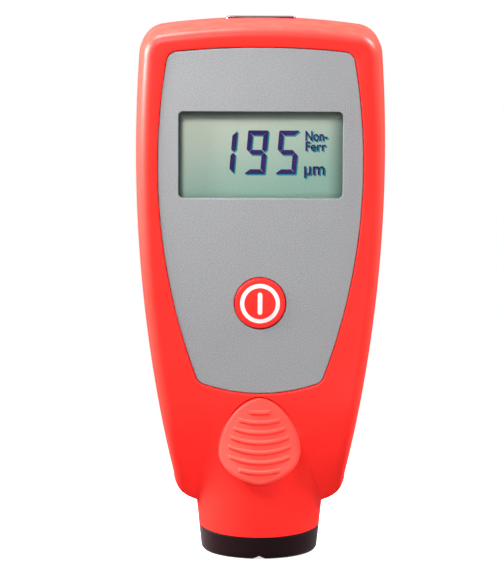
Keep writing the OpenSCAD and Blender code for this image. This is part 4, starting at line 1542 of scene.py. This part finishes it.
@dataclass(frozen=True)
class Effects:
    """Shared node groups that several finishes use."""

    grain: bpy.types.NodeTree
    wear: bpy.types.NodeTree

    @staticmethod
    def make() -> "Effects":
        """Builds the groups once.

        Returns:
            The set of groups.
        """
        return Effects(Effects.make_grain(), Effects.make_wear())

    @staticmethod
    def make_grain() -> bpy.types.NodeTree:
        """Builds the grain of a moulded or painted skin: fine pits, a coarse mottle and a bumped normal.

        Returns:
            Tree of the group.
        """
        graph, taken, given = new_group(
            "skin_grain",
            {"Place": VECTOR, "Scale": FLOAT, "Depth": FLOAT},
            {"Normal": VECTOR, "Pits": FLOAT, "Mottle": FLOAT},
        )
        fine = graph.noise(taken.outputs["Place"], taken.outputs["Scale"], 3.0)
        wide = graph.sums("MULTIPLY", taken.outputs["Scale"], MOTTLE_SCALE)
        coarse = graph.noise(taken.outputs["Place"], wide, 4.0)
        height = graph.sums("MULTIPLY", fine, taken.outputs["Depth"])
        bump = graph.add("ShaderNodeBump", Height=height, Distance=MM)
        graph.feed(given.inputs["Normal"], bump.outputs[0])
        graph.feed(given.inputs["Pits"], graph.ramp(fine, *PITS))
        graph.feed(given.inputs["Mottle"], graph.ramp(coarse, *MOTTLE))
        return graph.tree

    @staticmethod
    def make_wear() -> bpy.types.NodeTree:
        """Builds masks for rubbed edges and for dust that settles on upward faces.

        Returns:
            Tree of the group.
        """
        graph, taken, given = new_group(
            "edge_wear", {"Place": VECTOR, "Scale": FLOAT}, {"Rubbed": FLOAT, "Dust": FLOAT}
        )
        shape = graph.tree.nodes.new("ShaderNodeNewGeometry")
        patch = graph.ramp(graph.noise(taken.outputs["Place"], taken.outputs["Scale"], 5.0), *PATCHES)
        rounded = graph.tree.nodes.new("ShaderNodeBevel")
        rounded.samples = EDGE_SAMPLES
        rounded.inputs["Radius"].default_value = EDGE_RADIUS * MM
        facing = graph.tree.nodes.new("ShaderNodeVectorMath")
        facing.operation = "DOT_PRODUCT"
        graph.feed(facing.inputs[0], rounded.outputs["Normal"])
        graph.feed(facing.inputs[1], shape.outputs["Normal"])
        edge = graph.ramp(facing.outputs["Value"], *BENT)
        upright = graph.tree.nodes.new("ShaderNodeSeparateXYZ")
        graph.feed(upright.inputs[0], shape.outputs["Normal"])
        settled = graph.ramp(upright.outputs[2], *UPWARD)
        graph.feed(given.inputs["Rubbed"], graph.sums("MULTIPLY", edge, patch))
        graph.feed(given.inputs["Dust"], graph.sums("MULTIPLY", settled, patch))
        return graph.tree


def new_material(name: str) -> tuple[bpy.types.Material, Graph, bpy.types.Node]:
    """Starts a material with its Principled shader.

    Args:
        name: Name of the material.

    Returns:
        The material, its graph and its shader node.
    """
    material = bpy.data.materials.new(name)
    material.use_nodes = True
    graph = Graph(material.node_tree)
    return material, graph, material.node_tree.nodes["Principled BSDF"]


@dataclass(frozen=True)
class Grain:
    """Fine pits of a skin: features to the metre, and their depth."""

    scale: float
    depth: float


@dataclass(frozen=True)
class Skin:
    """Nodes that a finish starts from: its shader, the place on the piece, its grain and the wear group."""

    graph: Graph
    shader: bpy.types.Node
    spot: bpy.types.NodeSocket
    grain: bpy.types.Node
    wear: bpy.types.NodeTree

    def feed(self, name: str, value: object) -> None:
        """Links or sets an input of the shader.

        Args:
            name: Name of the input.
            value: Output socket, number or colour.
        """
        self.graph.feed(self.shader.inputs[name], value)

    def mottled(self, low: float, high: float) -> bpy.types.NodeSocket:
        """Gives a value that varies with the mottle.

        Args:
            low: Value where the mottle is least.
            high: Value where the mottle is greatest.

        Returns:
            Output socket.
        """
        return self.graph.ramp(self.grain.outputs["Mottle"], 0.0, 1.0, low, high)

    def split(self) -> list[bpy.types.NodeSocket]:
        """Gives the coordinates of the place on the piece.

        Returns:
            Output sockets with x, y and z.
        """
        node = self.graph.tree.nodes.new("ShaderNodeSeparateXYZ")
        self.graph.feed(node.inputs[0], self.spot)
        return list(node.outputs)

    def raise_relief(self, height: bpy.types.NodeSocket, depth: float) -> None:
        """Lays a relief over the grain.

        Args:
            height: Relative height of the relief.
            depth: Depth of the relief.
        """
        under = self.grain.outputs["Normal"]
        bump = self.graph.add("ShaderNodeBump", Height=height, Distance=depth * MM, Normal=under)
        self.feed("Normal", bump.outputs[0])


@dataclass(frozen=True)
class Finish:
    """What all finishes share: a name and a grain, on which each one lays its own nodes."""

    name: str
    grain: Grain

    def lay(self, skin: Skin) -> None:
        """Adds the nodes of one finish.

        Args:
            skin: Nodes that the finish starts from.
        """
        raise NotImplementedError

    def material(self, effects: Effects) -> bpy.types.Material:
        """Builds the material.

        Args:
            effects: Shared node groups.

        Returns:
            The material.
        """
        material, graph, shader = new_material(self.name)
        spot = graph.place()
        grain = graph.group(effects.grain, Place=spot, Scale=self.grain.scale, Depth=self.grain.depth)
        skin = Skin(graph, shader, spot, grain, effects.wear)
        skin.feed("Normal", grain.outputs["Normal"])
        self.lay(skin)
        return material


@dataclass(frozen=True)
class PlasticFinish(Finish):
    """Moulded plastic with a fine eroded grain, a faint mottle, rubbed edges and a little dust."""

    colour: Colour
    deep: Colour
    rubbed: Colour
    roughness: float
    spread: float = 0.06
    level: float = 0.5
    coat: float = 0.0
    coat_ior: float = 2.2
    coat_roughness: float = 0.42
    wear_scale: float = 260.0
    rub: float = 0.12
    dust: float = 0.008

    def lay(self, skin: Skin) -> None:
        """Adds the mottled colour, the wear, the dust and the coat.

        Args:
            skin: Nodes that the finish starts from.
        """
        graph = skin.graph
        wear = graph.group(skin.wear, Place=skin.spot, Scale=self.wear_scale)
        colour = graph.mix(skin.grain.outputs["Mottle"], self.colour, self.deep)
        colour = graph.mix(graph.sums("MULTIPLY", wear.outputs["Rubbed"], self.rub), colour, self.rubbed)
        dusty = graph.sums("MULTIPLY", wear.outputs["Dust"], self.dust)
        skin.feed("Base Color", graph.mix(dusty, colour, DUST))
        rough = skin.mottled(self.roughness - self.spread, self.roughness + self.spread)
        skin.feed("Roughness", graph.sums("ADD", rough, dusty))
        skin.feed("Specular IOR Level", self.level)
        skin.feed("Coat Weight", self.coat)
        skin.feed("Coat IOR", self.coat_ior)
        skin.feed("Coat Roughness", self.coat_roughness)


@dataclass(frozen=True)
class PaintFinish(Finish):
    """Metallic grey paint with a fine bright and dark speckle."""

    light: Colour
    dark: Colour
    roughness: float
    metallic: float
    level: float = 0.15
    flake_scale: float = 1.3
    flake_share: float = 0.98
    mottle_share: float = 0.02
    spread: float = 0.06

    def lay(self, skin: Skin) -> None:
        """Adds the flakes.

        Args:
            skin: Nodes that the finish starts from.
        """
        graph = skin.graph
        flakes = graph.noise(skin.spot, self.grain.scale * self.flake_scale, 1.0)
        bright = graph.sums("MULTIPLY", flakes, self.flake_share)
        uneven = graph.sums("MULTIPLY", skin.grain.outputs["Mottle"], self.mottle_share)
        share = graph.ramp(graph.sums("ADD", bright, uneven), *PITS)
        skin.feed("Base Color", graph.mix(share, self.dark, self.light))
        spread = (self.roughness - self.spread, self.roughness + self.spread)
        skin.feed("Roughness", graph.ramp(flakes, *MOTTLE, *spread))
        skin.feed("Metallic", self.metallic)
        skin.feed("Specular IOR Level", self.level)


@dataclass(frozen=True)
class MetalFinish(Finish):
    """Bare metal with a fine grain, a slight stain and bright rubbed edges."""

    colour: Colour
    stain: Colour
    roughness: float
    wear_scale: float = 700.0
    rub: float = 0.4
    spread: float = 0.08

    def lay(self, skin: Skin) -> None:
        """Adds the stain and the rubbed edges.

        Args:
            skin: Nodes that the finish starts from.
        """
        graph = skin.graph
        wear = graph.group(skin.wear, Place=skin.spot, Scale=self.wear_scale)
        colour = graph.mix(skin.grain.outputs["Mottle"], self.colour, self.stain)
        bright = graph.sums("MULTIPLY", wear.outputs["Rubbed"], self.rub)
        skin.feed("Base Color", graph.mix(bright, colour, BRIGHT))
        spread = (self.roughness - self.spread, self.roughness + self.spread)
        skin.feed("Roughness", graph.ramp(skin.grain.outputs["Pits"], 0.0, 1.0, *spread))
        skin.feed("Metallic", 1.0)


@dataclass(frozen=True)
class GlassFinish(Finish):
    """Clear display glass: nearly transparent, with its reflections and a faint haze."""

    tint: Colour
    clear: float
    roughness: float
    smear: float = 2.0
    haze: float = 1.3

    def lay(self, skin: Skin) -> None:
        """Adds the smears and the haze.

        Args:
            skin: Nodes that the finish starts from.
        """
        skin.feed("Roughness", skin.mottled(self.roughness, self.roughness * self.smear))
        skin.feed("Alpha", skin.mottled(self.clear, self.clear * self.haze))
        skin.feed("Base Color", self.tint)


@dataclass(frozen=True)
class DisplayFinish(Finish):
    """Reflective display face: grey-green, with painted light that makes it lighter at the upper left, and
    painted shade along the top and the sides where the deep frame shades it.
    """

    painted_lit_face: Colour
    painted_shaded_face: Colour
    # shade is the colour of the painted frame shade, and also of the specks.
    shade: Colour
    centre: tuple[float, float] = (0.0, 94.3)
    half: tuple[float, float] = (19.0, 10.2)
    # lean and slope set the slant of painted light, lighter towards the upper left.
    lean: float = 0.45
    slope: tuple[float, float] = (-1.3, 1.2)
    # right, left and above are ramps of painted shade at the sides and the top of the face.
    right: tuple[float, ...] = (0.78, 1.02, 0.0, 0.75)
    left: tuple[float, ...] = (-0.985, -0.9, 0.9, 0.0)
    above: tuple[float, ...] = (0.74, 0.94, 0.0, 0.97)
    specks: float = 0.08
    rough: tuple[float, float] = (0.5, 0.62)

    def lay(self, skin: Skin) -> None:
        """Adds the painted light slant, the frame's painted shade and the specks.

        Args:
            skin: Nodes that the finish starts from.
        """
        graph = skin.graph
        x, _, z = skin.split()
        across, up = (
            graph.sums("DIVIDE", graph.sums("SUBTRACT", value, centre * MM), half * MM)
            for value, centre, half in zip((x, z), self.centre, self.half)
        )
        # Painted light: the face colour is lighter towards the upper left, where the lamp falls.
        slant = graph.sums("SUBTRACT", graph.sums("MULTIPLY", across, self.lean), up)
        colour = graph.mix(graph.ramp(slant, *self.slope), self.painted_lit_face, self.painted_shaded_face)
        # Painted shade at the sides and along the top, where the frame shades the face.
        sides = graph.sums("MAXIMUM", graph.ramp(across, *self.left), graph.ramp(across, *self.right))
        painted_frame_shade = graph.sums("MAXIMUM", graph.ramp(up, *self.above), sides)
        colour = graph.mix(painted_frame_shade, colour, self.shade)
        speck = graph.sums("MULTIPLY", skin.grain.outputs["Pits"], self.specks)
        skin.feed("Base Color", graph.mix(speck, colour, self.shade))
        skin.feed("Roughness", skin.mottled(*self.rough))


@dataclass(frozen=True)
class BoardFinish(Finish):
    """Green board with solder mask over a net of copper lines."""

    mask: Colour
    line: Colour
    pitch: float = 1.27
    cell: float = 4.0
    tracks: float = 7.0
    track: tuple[float, float] = (0.28, 0.34)
    track_share: float = 0.7
    track_t: float = 0.03
    rough: tuple[float, float] = (0.28, 0.4)

    def lay(self, skin: Skin) -> None:
        """Adds the net of lines, raised over the board.

        Args:
            skin: Nodes that the finish starts from.
        """
        graph = skin.graph
        scale = 1.0 / (self.cell * self.pitch * MM)
        cells = graph.add("ShaderNodeTexVoronoi", Vector=skin.spot, Scale=scale)
        cells.distance = "MANHATTAN"
        cells.feature = "F1"
        bands = graph.sums("FRACT", graph.sums("MULTIPLY", cells.outputs["Distance"], self.tracks))
        track = graph.ramp(graph.sums("ABSOLUTE", graph.sums("SUBTRACT", bands, 0.5)), *self.track)
        colour = graph.mix(graph.sums("MULTIPLY", track, self.track_share), self.mask, self.line)
        skin.feed("Base Color", colour)
        skin.raise_relief(track, self.track_t)
        skin.feed("Roughness", skin.mottled(*self.rough))


@dataclass(frozen=True)
class WindingFinish(Finish):
    """Enamelled wire wound in close turns."""

    colour: Colour
    # dark is the colour of the painted shade in the grooves between the turns.
    dark: Colour
    pitch: float = 0.25
    lit: tuple[float, float] = (0.1, 0.7)
    relief: float = 0.1
    rough: tuple[float, float] = (0.3, 0.42)
    metallic: float = 0.8

    def lay(self, skin: Skin) -> None:
        """Adds the turns, round across the wire, with painted shade in the grooves between them.

        Args:
            skin: Nodes that the finish starts from.
        """
        graph = skin.graph
        turn = graph.sums("FRACT", graph.sums("DIVIDE", skin.split()[2], self.pitch * MM))
        wire = graph.sums("SINE", graph.sums("MULTIPLY", turn, math.pi))
        # Painted shade: the colour darkens towards the grooves between turns and is lightest on their crests.
        skin.feed("Base Color", graph.mix(graph.ramp(wire, *self.lit), self.dark, self.colour))
        skin.raise_relief(wire, self.relief)
        skin.feed("Roughness", skin.mottled(*self.rough))
        skin.feed("Metallic", self.metallic)


def inset_polygon(corners: np.ndarray, gap: float) -> np.ndarray:
    """Draws the sides of a convex polygon inwards.

    Each side is moved along its normal, and neighbouring sides are crossed again.

    Args:
        corners: Array of shape (corners, 2), counter-clockwise.
        gap: Distance inwards.

    Returns:
        Array of the same shape.
    """
    edge = np.roll(corners, -1, axis=0) - corners
    normal = np.column_stack([-edge[:, 1], edge[:, 0]]) / np.hypot(*edge.T)[:, None]
    reach = np.sum(normal * corners, axis=1) + gap
    before, before_reach = np.roll(normal, 1, axis=0), np.roll(reach, 1)
    cross = before[:, 0] * normal[:, 1] - before[:, 1] * normal[:, 0]
    x = (before_reach * normal[:, 1] - reach * before[:, 1]) / cross
    z = (before[:, 0] * reach - normal[:, 0] * before_reach) / cross
    return np.column_stack([x, z])


class Segment(Enum):
    """The seven bars of a display figure."""

    TOP = "a"
    UPPER_RIGHT = "b"
    LOWER_RIGHT = "c"
    BOTTOM = "d"
    LOWER_LEFT = "e"
    UPPER_LEFT = "f"
    MIDDLE = "g"


FIGURES = {"1": "bc", "5": "acdfg", "9": "abcdfg"}


@dataclass(frozen=True)
class Display:
    """Segment figures and labels on the display cell, each with the shadow that it throws."""

    face_f: float = 11.1
    figures: str = "195"
    first_x: float = -8.03
    pitch: float = 7.1
    middle_z: float = 94.7
    half_w: float = 2.41
    half_h: float = 5.1
    stroke: float = 1.27
    gap: float = 0.07
    slant: float = 5.0
    lift: float = 0.03
    thickness: float = 0.012
    corner: float = 0.2
    bold: float = 0.02
    shadow_x: float = 0.3
    shadow_z: float = -0.3
    labels: tuple[tuple[str, float, float, float, float], ...] = (
        ("µm", 9.7, 89.6, 4.1, 0.95),
        ("Non-", 10.1, 97.4, 3.3, 0.74),
        ("Ferr", 10.1, 95.1, 3.0, 0.93),
    )

    def bar(self, segment: Segment) -> np.ndarray:
        """Corners of one bar about the figure's middle.

        Args:
            segment: Which bar.

        Returns:
            Array of shape (corners, 2), counter-clockwise.
        """
        c, h, w = self.half_w, self.half_h, self.stroke
        if segment is Segment.MIDDLE:
            e = c - w / 2.0
            upper = np.array([[e, 0.0], [c - w, w / 2.0], [w - c, w / 2.0]])
            return np.concatenate([upper, -upper])
        if segment in (Segment.TOP, Segment.BOTTOM):
            k, i = self.corner * w, c - w
            shape = np.array([[c - k, h], [k - c, h], [-c, h - k], [-i, h - w], [i, h - w], [c, h - k]])
            flip = np.array([1.0, 1.0 if segment is Segment.TOP else -1.0])
        else:
            shape = np.array([[c, h], [c - w, h - w], [c - w, w / 2.0], [c - w / 2.0, 0.0], [c, w / 2.0]])
            right = segment in (Segment.UPPER_RIGHT, Segment.LOWER_RIGHT)
            upper = segment in (Segment.UPPER_RIGHT, Segment.UPPER_LEFT)
            flip = np.array([1.0 if right else -1.0, 1.0 if upper else -1.0])
        shape = shape * flip
        return shape if flip.prod() > 0 else shape[::-1]

    def sheared(self, flat: np.ndarray) -> np.ndarray:
        """Leans points to the right with their height over the figures' middle.

        Args:
            flat: Array of shape (points, 2) with x and z.

        Returns:
            Array of the same shape.
        """
        lean = math.tan(math.radians(self.slant))
        return np.column_stack([flat[:, 0] + (flat[:, 1] - self.middle_z) * lean, flat[:, 1]])

    def build_label(self, words: str, x: float, z: float, size: float, narrow: float) -> bpy.types.Object:
        """Makes a small label with the built-in font.

        Args:
            words: Characters of the label.
            x: Left end.
            z: Base line.
            size: Font size.
            narrow: Share of the font's width.

        Returns:
            Mesh object in the front view.
        """
        curve = bpy.data.curves.new("label", "FONT")
        curve.body = words
        curve.size = size * MM
        curve.offset = self.bold * size * MM
        curve.extrude = self.thickness / 2.0 * MM
        holder = bpy.data.objects.new("label", curve)
        bpy.context.scene.collection.objects.link(holder)
        graph = bpy.context.evaluated_depsgraph_get()
        mesh = bpy.data.meshes.new_from_object(holder.evaluated_get(graph))
        bpy.data.objects.remove(holder)
        bpy.data.curves.remove(curve)
        upright = Matrix.Rotation(math.pi / 2.0, 4, "X")
        spot = Vector((x, -self.face_f - self.lift, z)) * MM
        mesh.transform(Matrix.Translation(spot) @ upright @ Matrix.Diagonal((narrow, 1.0, 1.0, 1.0)))
        label = bpy.data.objects.new("label", mesh)
        bpy.context.scene.collection.objects.link(label)
        return label

    def build(self, name: str, shadow: bool) -> bpy.types.Object:
        """Makes all figures and labels as thin sheets of one object.

        Args:
            name: Name of the object.
            shadow: Whether the sheets are moved to where their shadow falls.

        Returns:
            Mesh object.
        """
        points, blocks, count = [], [], 0
        level = self.face_f + (self.lift / 2.0 if shadow else self.lift)
        for place_no, figure in enumerate(self.figures):
            spot = np.array([self.first_x + self.pitch * place_no, self.middle_z])
            for segment in (Segment(letter) for letter in FIGURES[figure]):
                flat = self.sheared(inset_polygon(self.bar(segment), self.gap) + spot)
                rings = slab_rings([flat, flat], [level - self.thickness / 2.0, level + self.thickness / 2.0])
                size = len(flat)
                points.append(rings.reshape(-1, 3))
                blocks.append(grid_quads(2, size, wrap=True, base=count))
                blocks.append(np.arange(2 * size).reshape(2, size) + count)
                count += 2 * size
        piece = write_mesh(name, np.concatenate(points), blocks)
        work = bmesh.new()
        work.from_mesh(piece.data)
        for label in (self.build_label(*entry) for entry in self.labels):
            work.from_mesh(label.data)
            bpy.data.objects.remove(label)
        work.to_mesh(piece.data)
        work.free()
        if shadow:
            drop = Vector((self.shadow_x, self.lift / 2.0, self.shadow_z)) * MM
            piece.data.transform(Matrix.Translation(drop))
        return piece


@dataclass(frozen=True)
class PhotoCamera:
    """Camera at the photograph's angle, a long lens a little above the gauge's middle."""

    distance: float = 850.0
    elevation: float = 8.0
    focal_px: float = 3644.0
    image_w: float = 504.0
    sensor_w: float = 36.0
    aim: tuple[float, float, float] = (-1.855, 0.0, 61.98)
    roll: float = 0.21
    near: float = 0.05
    far: float = 20.0

    def build(self) -> bpy.types.Object:
        """Makes the camera and gives it to the scene.

        Returns:
            Camera object.
        """
        data = bpy.data.cameras.new("photo_camera")
        data.sensor_fit = "HORIZONTAL"
        data.sensor_width = self.sensor_w
        data.lens = self.focal_px / self.image_w * self.sensor_w
        data.clip_start, data.clip_end = self.near, self.far
        camera = bpy.data.objects.new("photo_camera", data)
        tilt = math.radians(self.elevation)
        away = Vector((0.0, -math.cos(tilt), math.sin(tilt))) * self.distance
        camera.location = (Vector(self.aim) + away) * MM
        roll = Matrix.Rotation(math.radians(self.roll), 4, "Z")
        camera.rotation_euler = (Matrix.Rotation(math.pi / 2.0 - tilt, 4, "X") @ roll).to_euler()
        bpy.context.scene.collection.objects.link(camera)
        bpy.context.scene.camera = camera
        return camera


@dataclass(frozen=True)
class Softbox:
    """A square studio light aimed at the gauge."""

    name: str
    spot: tuple[float, float, float]
    size: float
    power: float
    tint: tuple[float, float, float] = (1.0, 1.0, 1.0)
    aim: tuple[float, float, float] = (0.0, 0.0, 0.065)

    def build(self) -> bpy.types.Object:
        """Makes the light.

        Returns:
            Light object.
        """
        data = bpy.data.lights.new(self.name, "AREA")
        data.shape = "SQUARE"
        data.size = self.size
        data.energy = self.power
        data.color = self.tint
        light = bpy.data.objects.new(self.name, data)
        light.location = self.spot
        light.visible_camera = False
        light.rotation_euler = (Vector(self.aim) - Vector(self.spot)).to_track_quat("-Z", "Y").to_euler()
        bpy.context.scene.collection.objects.link(light)
        return light


@dataclass(frozen=True)
class Studio:
    """Plain pale floor, white surroundings and soft lights."""

    floor_half: float = 4.0
    floor_tint: float = 0.9
    floor_spread: float = 0.01
    floor_scale: float = 40.0
    floor_rough: float = 0.9
    bounce: float = 0.07
    floor_glow: float = 0.7
    ambient: float = 0.2
    pool_near: float = 0.06
    pool_far: float = 0.16
    lights: tuple[Softbox, ...] = (
        Softbox("key_light", (-0.065, -0.165, 0.225), 0.05, 0.62),
        Softbox("left_light", (-0.13, -0.035, 0.135), 0.05, 0.42, aim=(-0.025, 0.0, 0.11)),
        Softbox("side_light", (-0.16, 0.01, 0.14), 0.06, 1.9, aim=(-0.028, -0.012, 0.11)),
        Softbox("top_light", (-0.07, 0.02, 0.26), 0.08, 1.5, aim=(-0.02, -0.01, 0.12)),
        Softbox("right_light", (0.2, 0.02, 0.28), 0.12, 4.8, aim=(0.025, -0.01, 0.115)),
        Softbox("front_light", (-0.1, -0.45, 0.1), 0.12, 0.06, aim=(0.0, 0.0, 0.1)),
        Softbox("low_light", (0.06, -0.16, 0.02), 0.08, 0.1, aim=(0.0, -0.014, 0.02)),
        Softbox("fill_light", (0.5, -0.5, 0.5), 0.3, 0.9),
    )

    def build_floor(self) -> bpy.types.Object:
        """Makes the floor, which fades from a lit surface under the gauge to plain white round it.

        Returns:
            Mesh object.
        """
        half = self.floor_half
        mesh = bpy.data.meshes.new("floor")
        corners = [(-half, -half, 0.0), (half, -half, 0.0), (half, half, 0.0), (-half, half, 0.0)]
        mesh.from_pydata(corners, [], [(0, 1, 2, 3)])
        floor = bpy.data.objects.new("floor", mesh)
        bpy.context.scene.collection.objects.link(floor)
        material, graph, shader = new_material("floor_white")
        place_on = graph.place()
        reach = graph.tree.nodes.new("ShaderNodeVectorMath")
        reach.operation = "LENGTH"
        graph.feed(reach.inputs[0], place_on)
        far = graph.ramp(reach.outputs["Value"], self.pool_near, self.pool_far, self.floor_glow, 1.0)
        spread = (self.floor_tint - self.floor_spread, self.floor_tint + self.floor_spread)
        mottle = graph.ramp(graph.noise(place_on, self.floor_scale, 3.0), *MOTTLE, *spread)
        path = graph.tree.nodes.new("ShaderNodeLightPath")
        dim = graph.ramp(path.outputs["Is Diffuse Ray"], 0.0, 1.0, 1.0, self.bounce)
        colour = graph.tree.nodes.new("ShaderNodeCombineColor")
        for socket in colour.inputs:
            graph.feed(socket, graph.sums("MULTIPLY", mottle, dim))
        graph.feed(shader.inputs["Base Color"], colour.outputs[0])
        shader.inputs["Roughness"].default_value = self.floor_rough
        white = graph.add("ShaderNodeEmission", Color=(1.0, 1.0, 1.0, 1.0), Strength=1.0)
        blend = graph.tree.nodes.new("ShaderNodeMixShader")
        unlit = graph.sums("SUBTRACT", 1.0, path.outputs["Is Diffuse Ray"])
        graph.feed(blend.inputs[0], graph.sums("MULTIPLY", far, unlit))
        graph.feed(blend.inputs[1], shader.outputs[0])
        graph.feed(blend.inputs[2], white.outputs[0])
        graph.feed(graph.tree.nodes["Material Output"].inputs["Surface"], blend.outputs[0])
        mesh.materials.append(material)
        return floor

    def build_world(self) -> bpy.types.World:
        """Makes the surroundings: white to the camera and in reflections, dimmer as a light.

        Returns:
            The world.
        """
        world = bpy.data.worlds.new("studio")
        world.use_nodes = True
        graph = Graph(world.node_tree)
        path = graph.tree.nodes.new("ShaderNodeLightPath")
        seen = graph.sums("ADD", path.outputs["Is Camera Ray"], path.outputs["Is Glossy Ray"])
        seen = graph.sums("ADD", seen, path.outputs["Is Transmission Ray"], clamp=True)
        strength = graph.ramp(seen, 0.0, 1.0, self.ambient, 1.0)
        backdrop = graph.tree.nodes["Background"]
        backdrop.inputs["Color"].default_value = (1.0, 1.0, 1.0, 1.0)
        graph.feed(backdrop.inputs["Strength"], strength)
        bpy.context.scene.world = world
        return world

    def build(self) -> None:
        """Makes the floor, the surroundings and the lights."""
        self.build_floor()
        self.build_world()
        for light in self.lights:
            light.build()
        bpy.context.scene.view_settings.view_transform = "Standard"


class Finishes:
    """All materials of the gauge."""

    def __init__(self) -> None:
        """Builds every material once."""
        effects = Effects.make()
        red, red_deep = (0.96, 0.019, 0.014, 1.0), (0.95, 0.017, 0.012, 1.0)
        pad, pad_deep = (0.96, 0.06, 0.045, 1.0), (0.94, 0.05, 0.038, 1.0)
        pale = (1.0, 0.14, 0.11, 1.0)
        skin, metal, printed = Grain(2600.0, 0.02), Grain(2500.0, 0.02), Grain(3000.0, 0.005)
        gloss = {"level": 0.0, "coat": 0.08}
        white = (srgb(214, 204, 203), srgb(208, 198, 197), srgb(230, 226, 224))
        ivory = (srgb(222, 220, 212), srgb(208, 206, 198), srgb(240, 240, 236))
        black = (srgb(26, 12, 14), srgb(21, 9, 11), srgb(52, 36, 36))
        rubber = (srgb(40, 40, 42), srgb(32, 32, 34), srgb(64, 64, 66))
        dark = (srgb(38, 16, 20), srgb(30, 12, 16), srgb(90, 60, 60))
        plate = (srgb(136, 137, 139), srgb(116, 116, 118))
        # Display face: a colour with painted light, a colour with painted shade, and the colour of the
        # frame's painted shade.
        face = (srgb(146, 153, 140), srgb(102, 134, 121), srgb(24, 46, 40))
        ink = (srgb(44, 28, 78), srgb(38, 24, 70), srgb(50, 36, 86))
        cast = (srgb(16, 108, 114), srgb(12, 100, 108), srgb(30, 120, 124))
        finishes: dict[str, Finish] = {
            "red": PlasticFinish("red_shell", skin, red, red_deep, pale, 0.4, **gloss),
            "pad": PlasticFinish("pad_red", skin, pad, pad_deep, pale, 0.42, **gloss),
            "white": PlasticFinish("legend_white", Grain(2600.0, 0.01), *white, 0.45, level=0.1),
            "ivory": PlasticFinish("frame_white", Grain(2200.0, 0.03), *ivory, 0.5),
            "black": PlasticFinish("foot_black", Grain(2600.0, 0.03), *black, 0.5, level=0.03),
            "rubber": PlasticFinish("dark_rubber", Grain(1500.0, 0.05), *rubber, 0.75),
            "lens": PlasticFinish("end_dark", Grain(1800.0, 0.004), *dark, 0.12),
            "plate": PaintFinish("plate_paint", Grain(3600.0, 0.02), *plate, 0.45, 0.05),
            "steel": MetalFinish("steel", metal, srgb(196, 196, 194), srgb(172, 170, 166), 0.3),
            "brass": MetalFinish("brass", metal, srgb(205, 168, 96), srgb(178, 140, 78), 0.32),
            "can": MetalFinish("battery_can", metal, srgb(92, 92, 98), srgb(70, 70, 76), 0.4),
            "glass": GlassFinish("window_glass", Grain(900.0, 0.002), srgb(60, 70, 64), 0.015, 0.06),
            "face": DisplayFinish("display_face", Grain(3800.0, 0.01), *face),
            "ink": PlasticFinish("display_ink", printed, *ink, 0.5, level=0.05),
            "ink_shadow": PlasticFinish("display_shadow", printed, *cast, 0.6, level=0.1),
            "board": BoardFinish("board", Grain(1800.0, 0.02), srgb(22, 84, 44), srgb(60, 128, 62)),
            # Winding: copper colour, and a darker colour of painted shade between the turns.
            "wire": WindingFinish("winding", Grain(2000.0, 0.01), srgb(196, 104, 52), srgb(90, 40, 18)),
        }
        self.looks = {key: finish.material(effects) for key, finish in finishes.items()}

    def __getitem__(self, key: str) -> bpy.types.Material:
        """Gives one material.

        Args:
            key: Short name of the finish.

        Returns:
            The material.
        """
        return self.looks[key]


KEPT_NODES = {
    "glass": ("display_window",),
    "face": ("display_cell",),
    "ivory": ("display_frame", "probe_socket"),
    "rubber": ("display_connectors", "probe_lead", "battery_snap"),
    "board": ("main_board",),
    "black": ("controller_chip", "key_switch", "spring_seat"),
    "white": ("switch_plunger",),
    "brass": ("guide_bush",),
    "steel": ("probe_sleeve", "probe_core", "probe_tip", "probe_spring", "housing_screws", "board_screws"),
    "wire": ("probe_coil",),
    "can": ("battery",),
}


class Gauge:
    """The whole gauge: rebuilt pieces and CAD nodes that keep their shape."""

    def __init__(self, finishes: Finishes) -> None:
        """Keeps the finishes and the shared shapes.

        Args:
            finishes: Materials of the gauge.
        """
        self.finishes = finishes
        self.form = HousingForm()
        self.plate = PlateForm()
        self.door = BatteryDoor()
        self.end = EndWindow()

    def build(self) -> None:
        """Builds and dresses every piece."""
        f = self.finishes
        housing = Housing(self.form, self.plate, self.door, self.end)
        place(housing.build_front(), Body.HOUSING, f["red"], "red_plastic", "front_shell")
        place(housing.build_rear(), Body.HOUSING, f["red"], "red_plastic", "rear_shell")
        place(FrontPlate(self.plate).build(), Body.HOUSING, f["plate"], "plate_grey", "front_plate")
        place(ThumbPad(self.form).build(), Body.HOUSING, f["pad"], "pad_plastic", "thumb_pad")
        button = PowerButton(self.plate)
        place(button.build(), Body.BUTTON, f["red"], "pad_plastic", "power_button")
        legend = button.legend("power_legend", button.legend_proud)
        place(legend, Body.BUTTON, f["white"], "white_plastic", "button_legend")
        display = Display()
        place(display.build("display_figures", False), Body.HOUSING, f["ink"], "display_face")
        place(display.build("display_shadows", True), Body.HOUSING, f["ink_shadow"], "display_face")
        place(ProbeFoot(self.form).build(), Body.HOUSING, f["black"], "black_plastic", "probe_foot")
        place(self.end.build(), Body.HOUSING, f["lens"], "black_plastic", "end_window")
        place(self.door.build(), Body.DOOR, f["red"], "red_plastic", "battery_door")
        for key, names in KEPT_NODES.items():
            for name in names:
                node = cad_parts[name]
                node.data.materials.clear()
                node.data.materials.append(f[key])


def main() -> None:
    """Builds the scene."""
    logging.basicConfig(level=logging.INFO, format="%(name)s: %(message)s")
    PhotoCamera().build()
    Studio().build()
    Gauge(Finishes()).build()


if __name__ == "__main__":
    main()
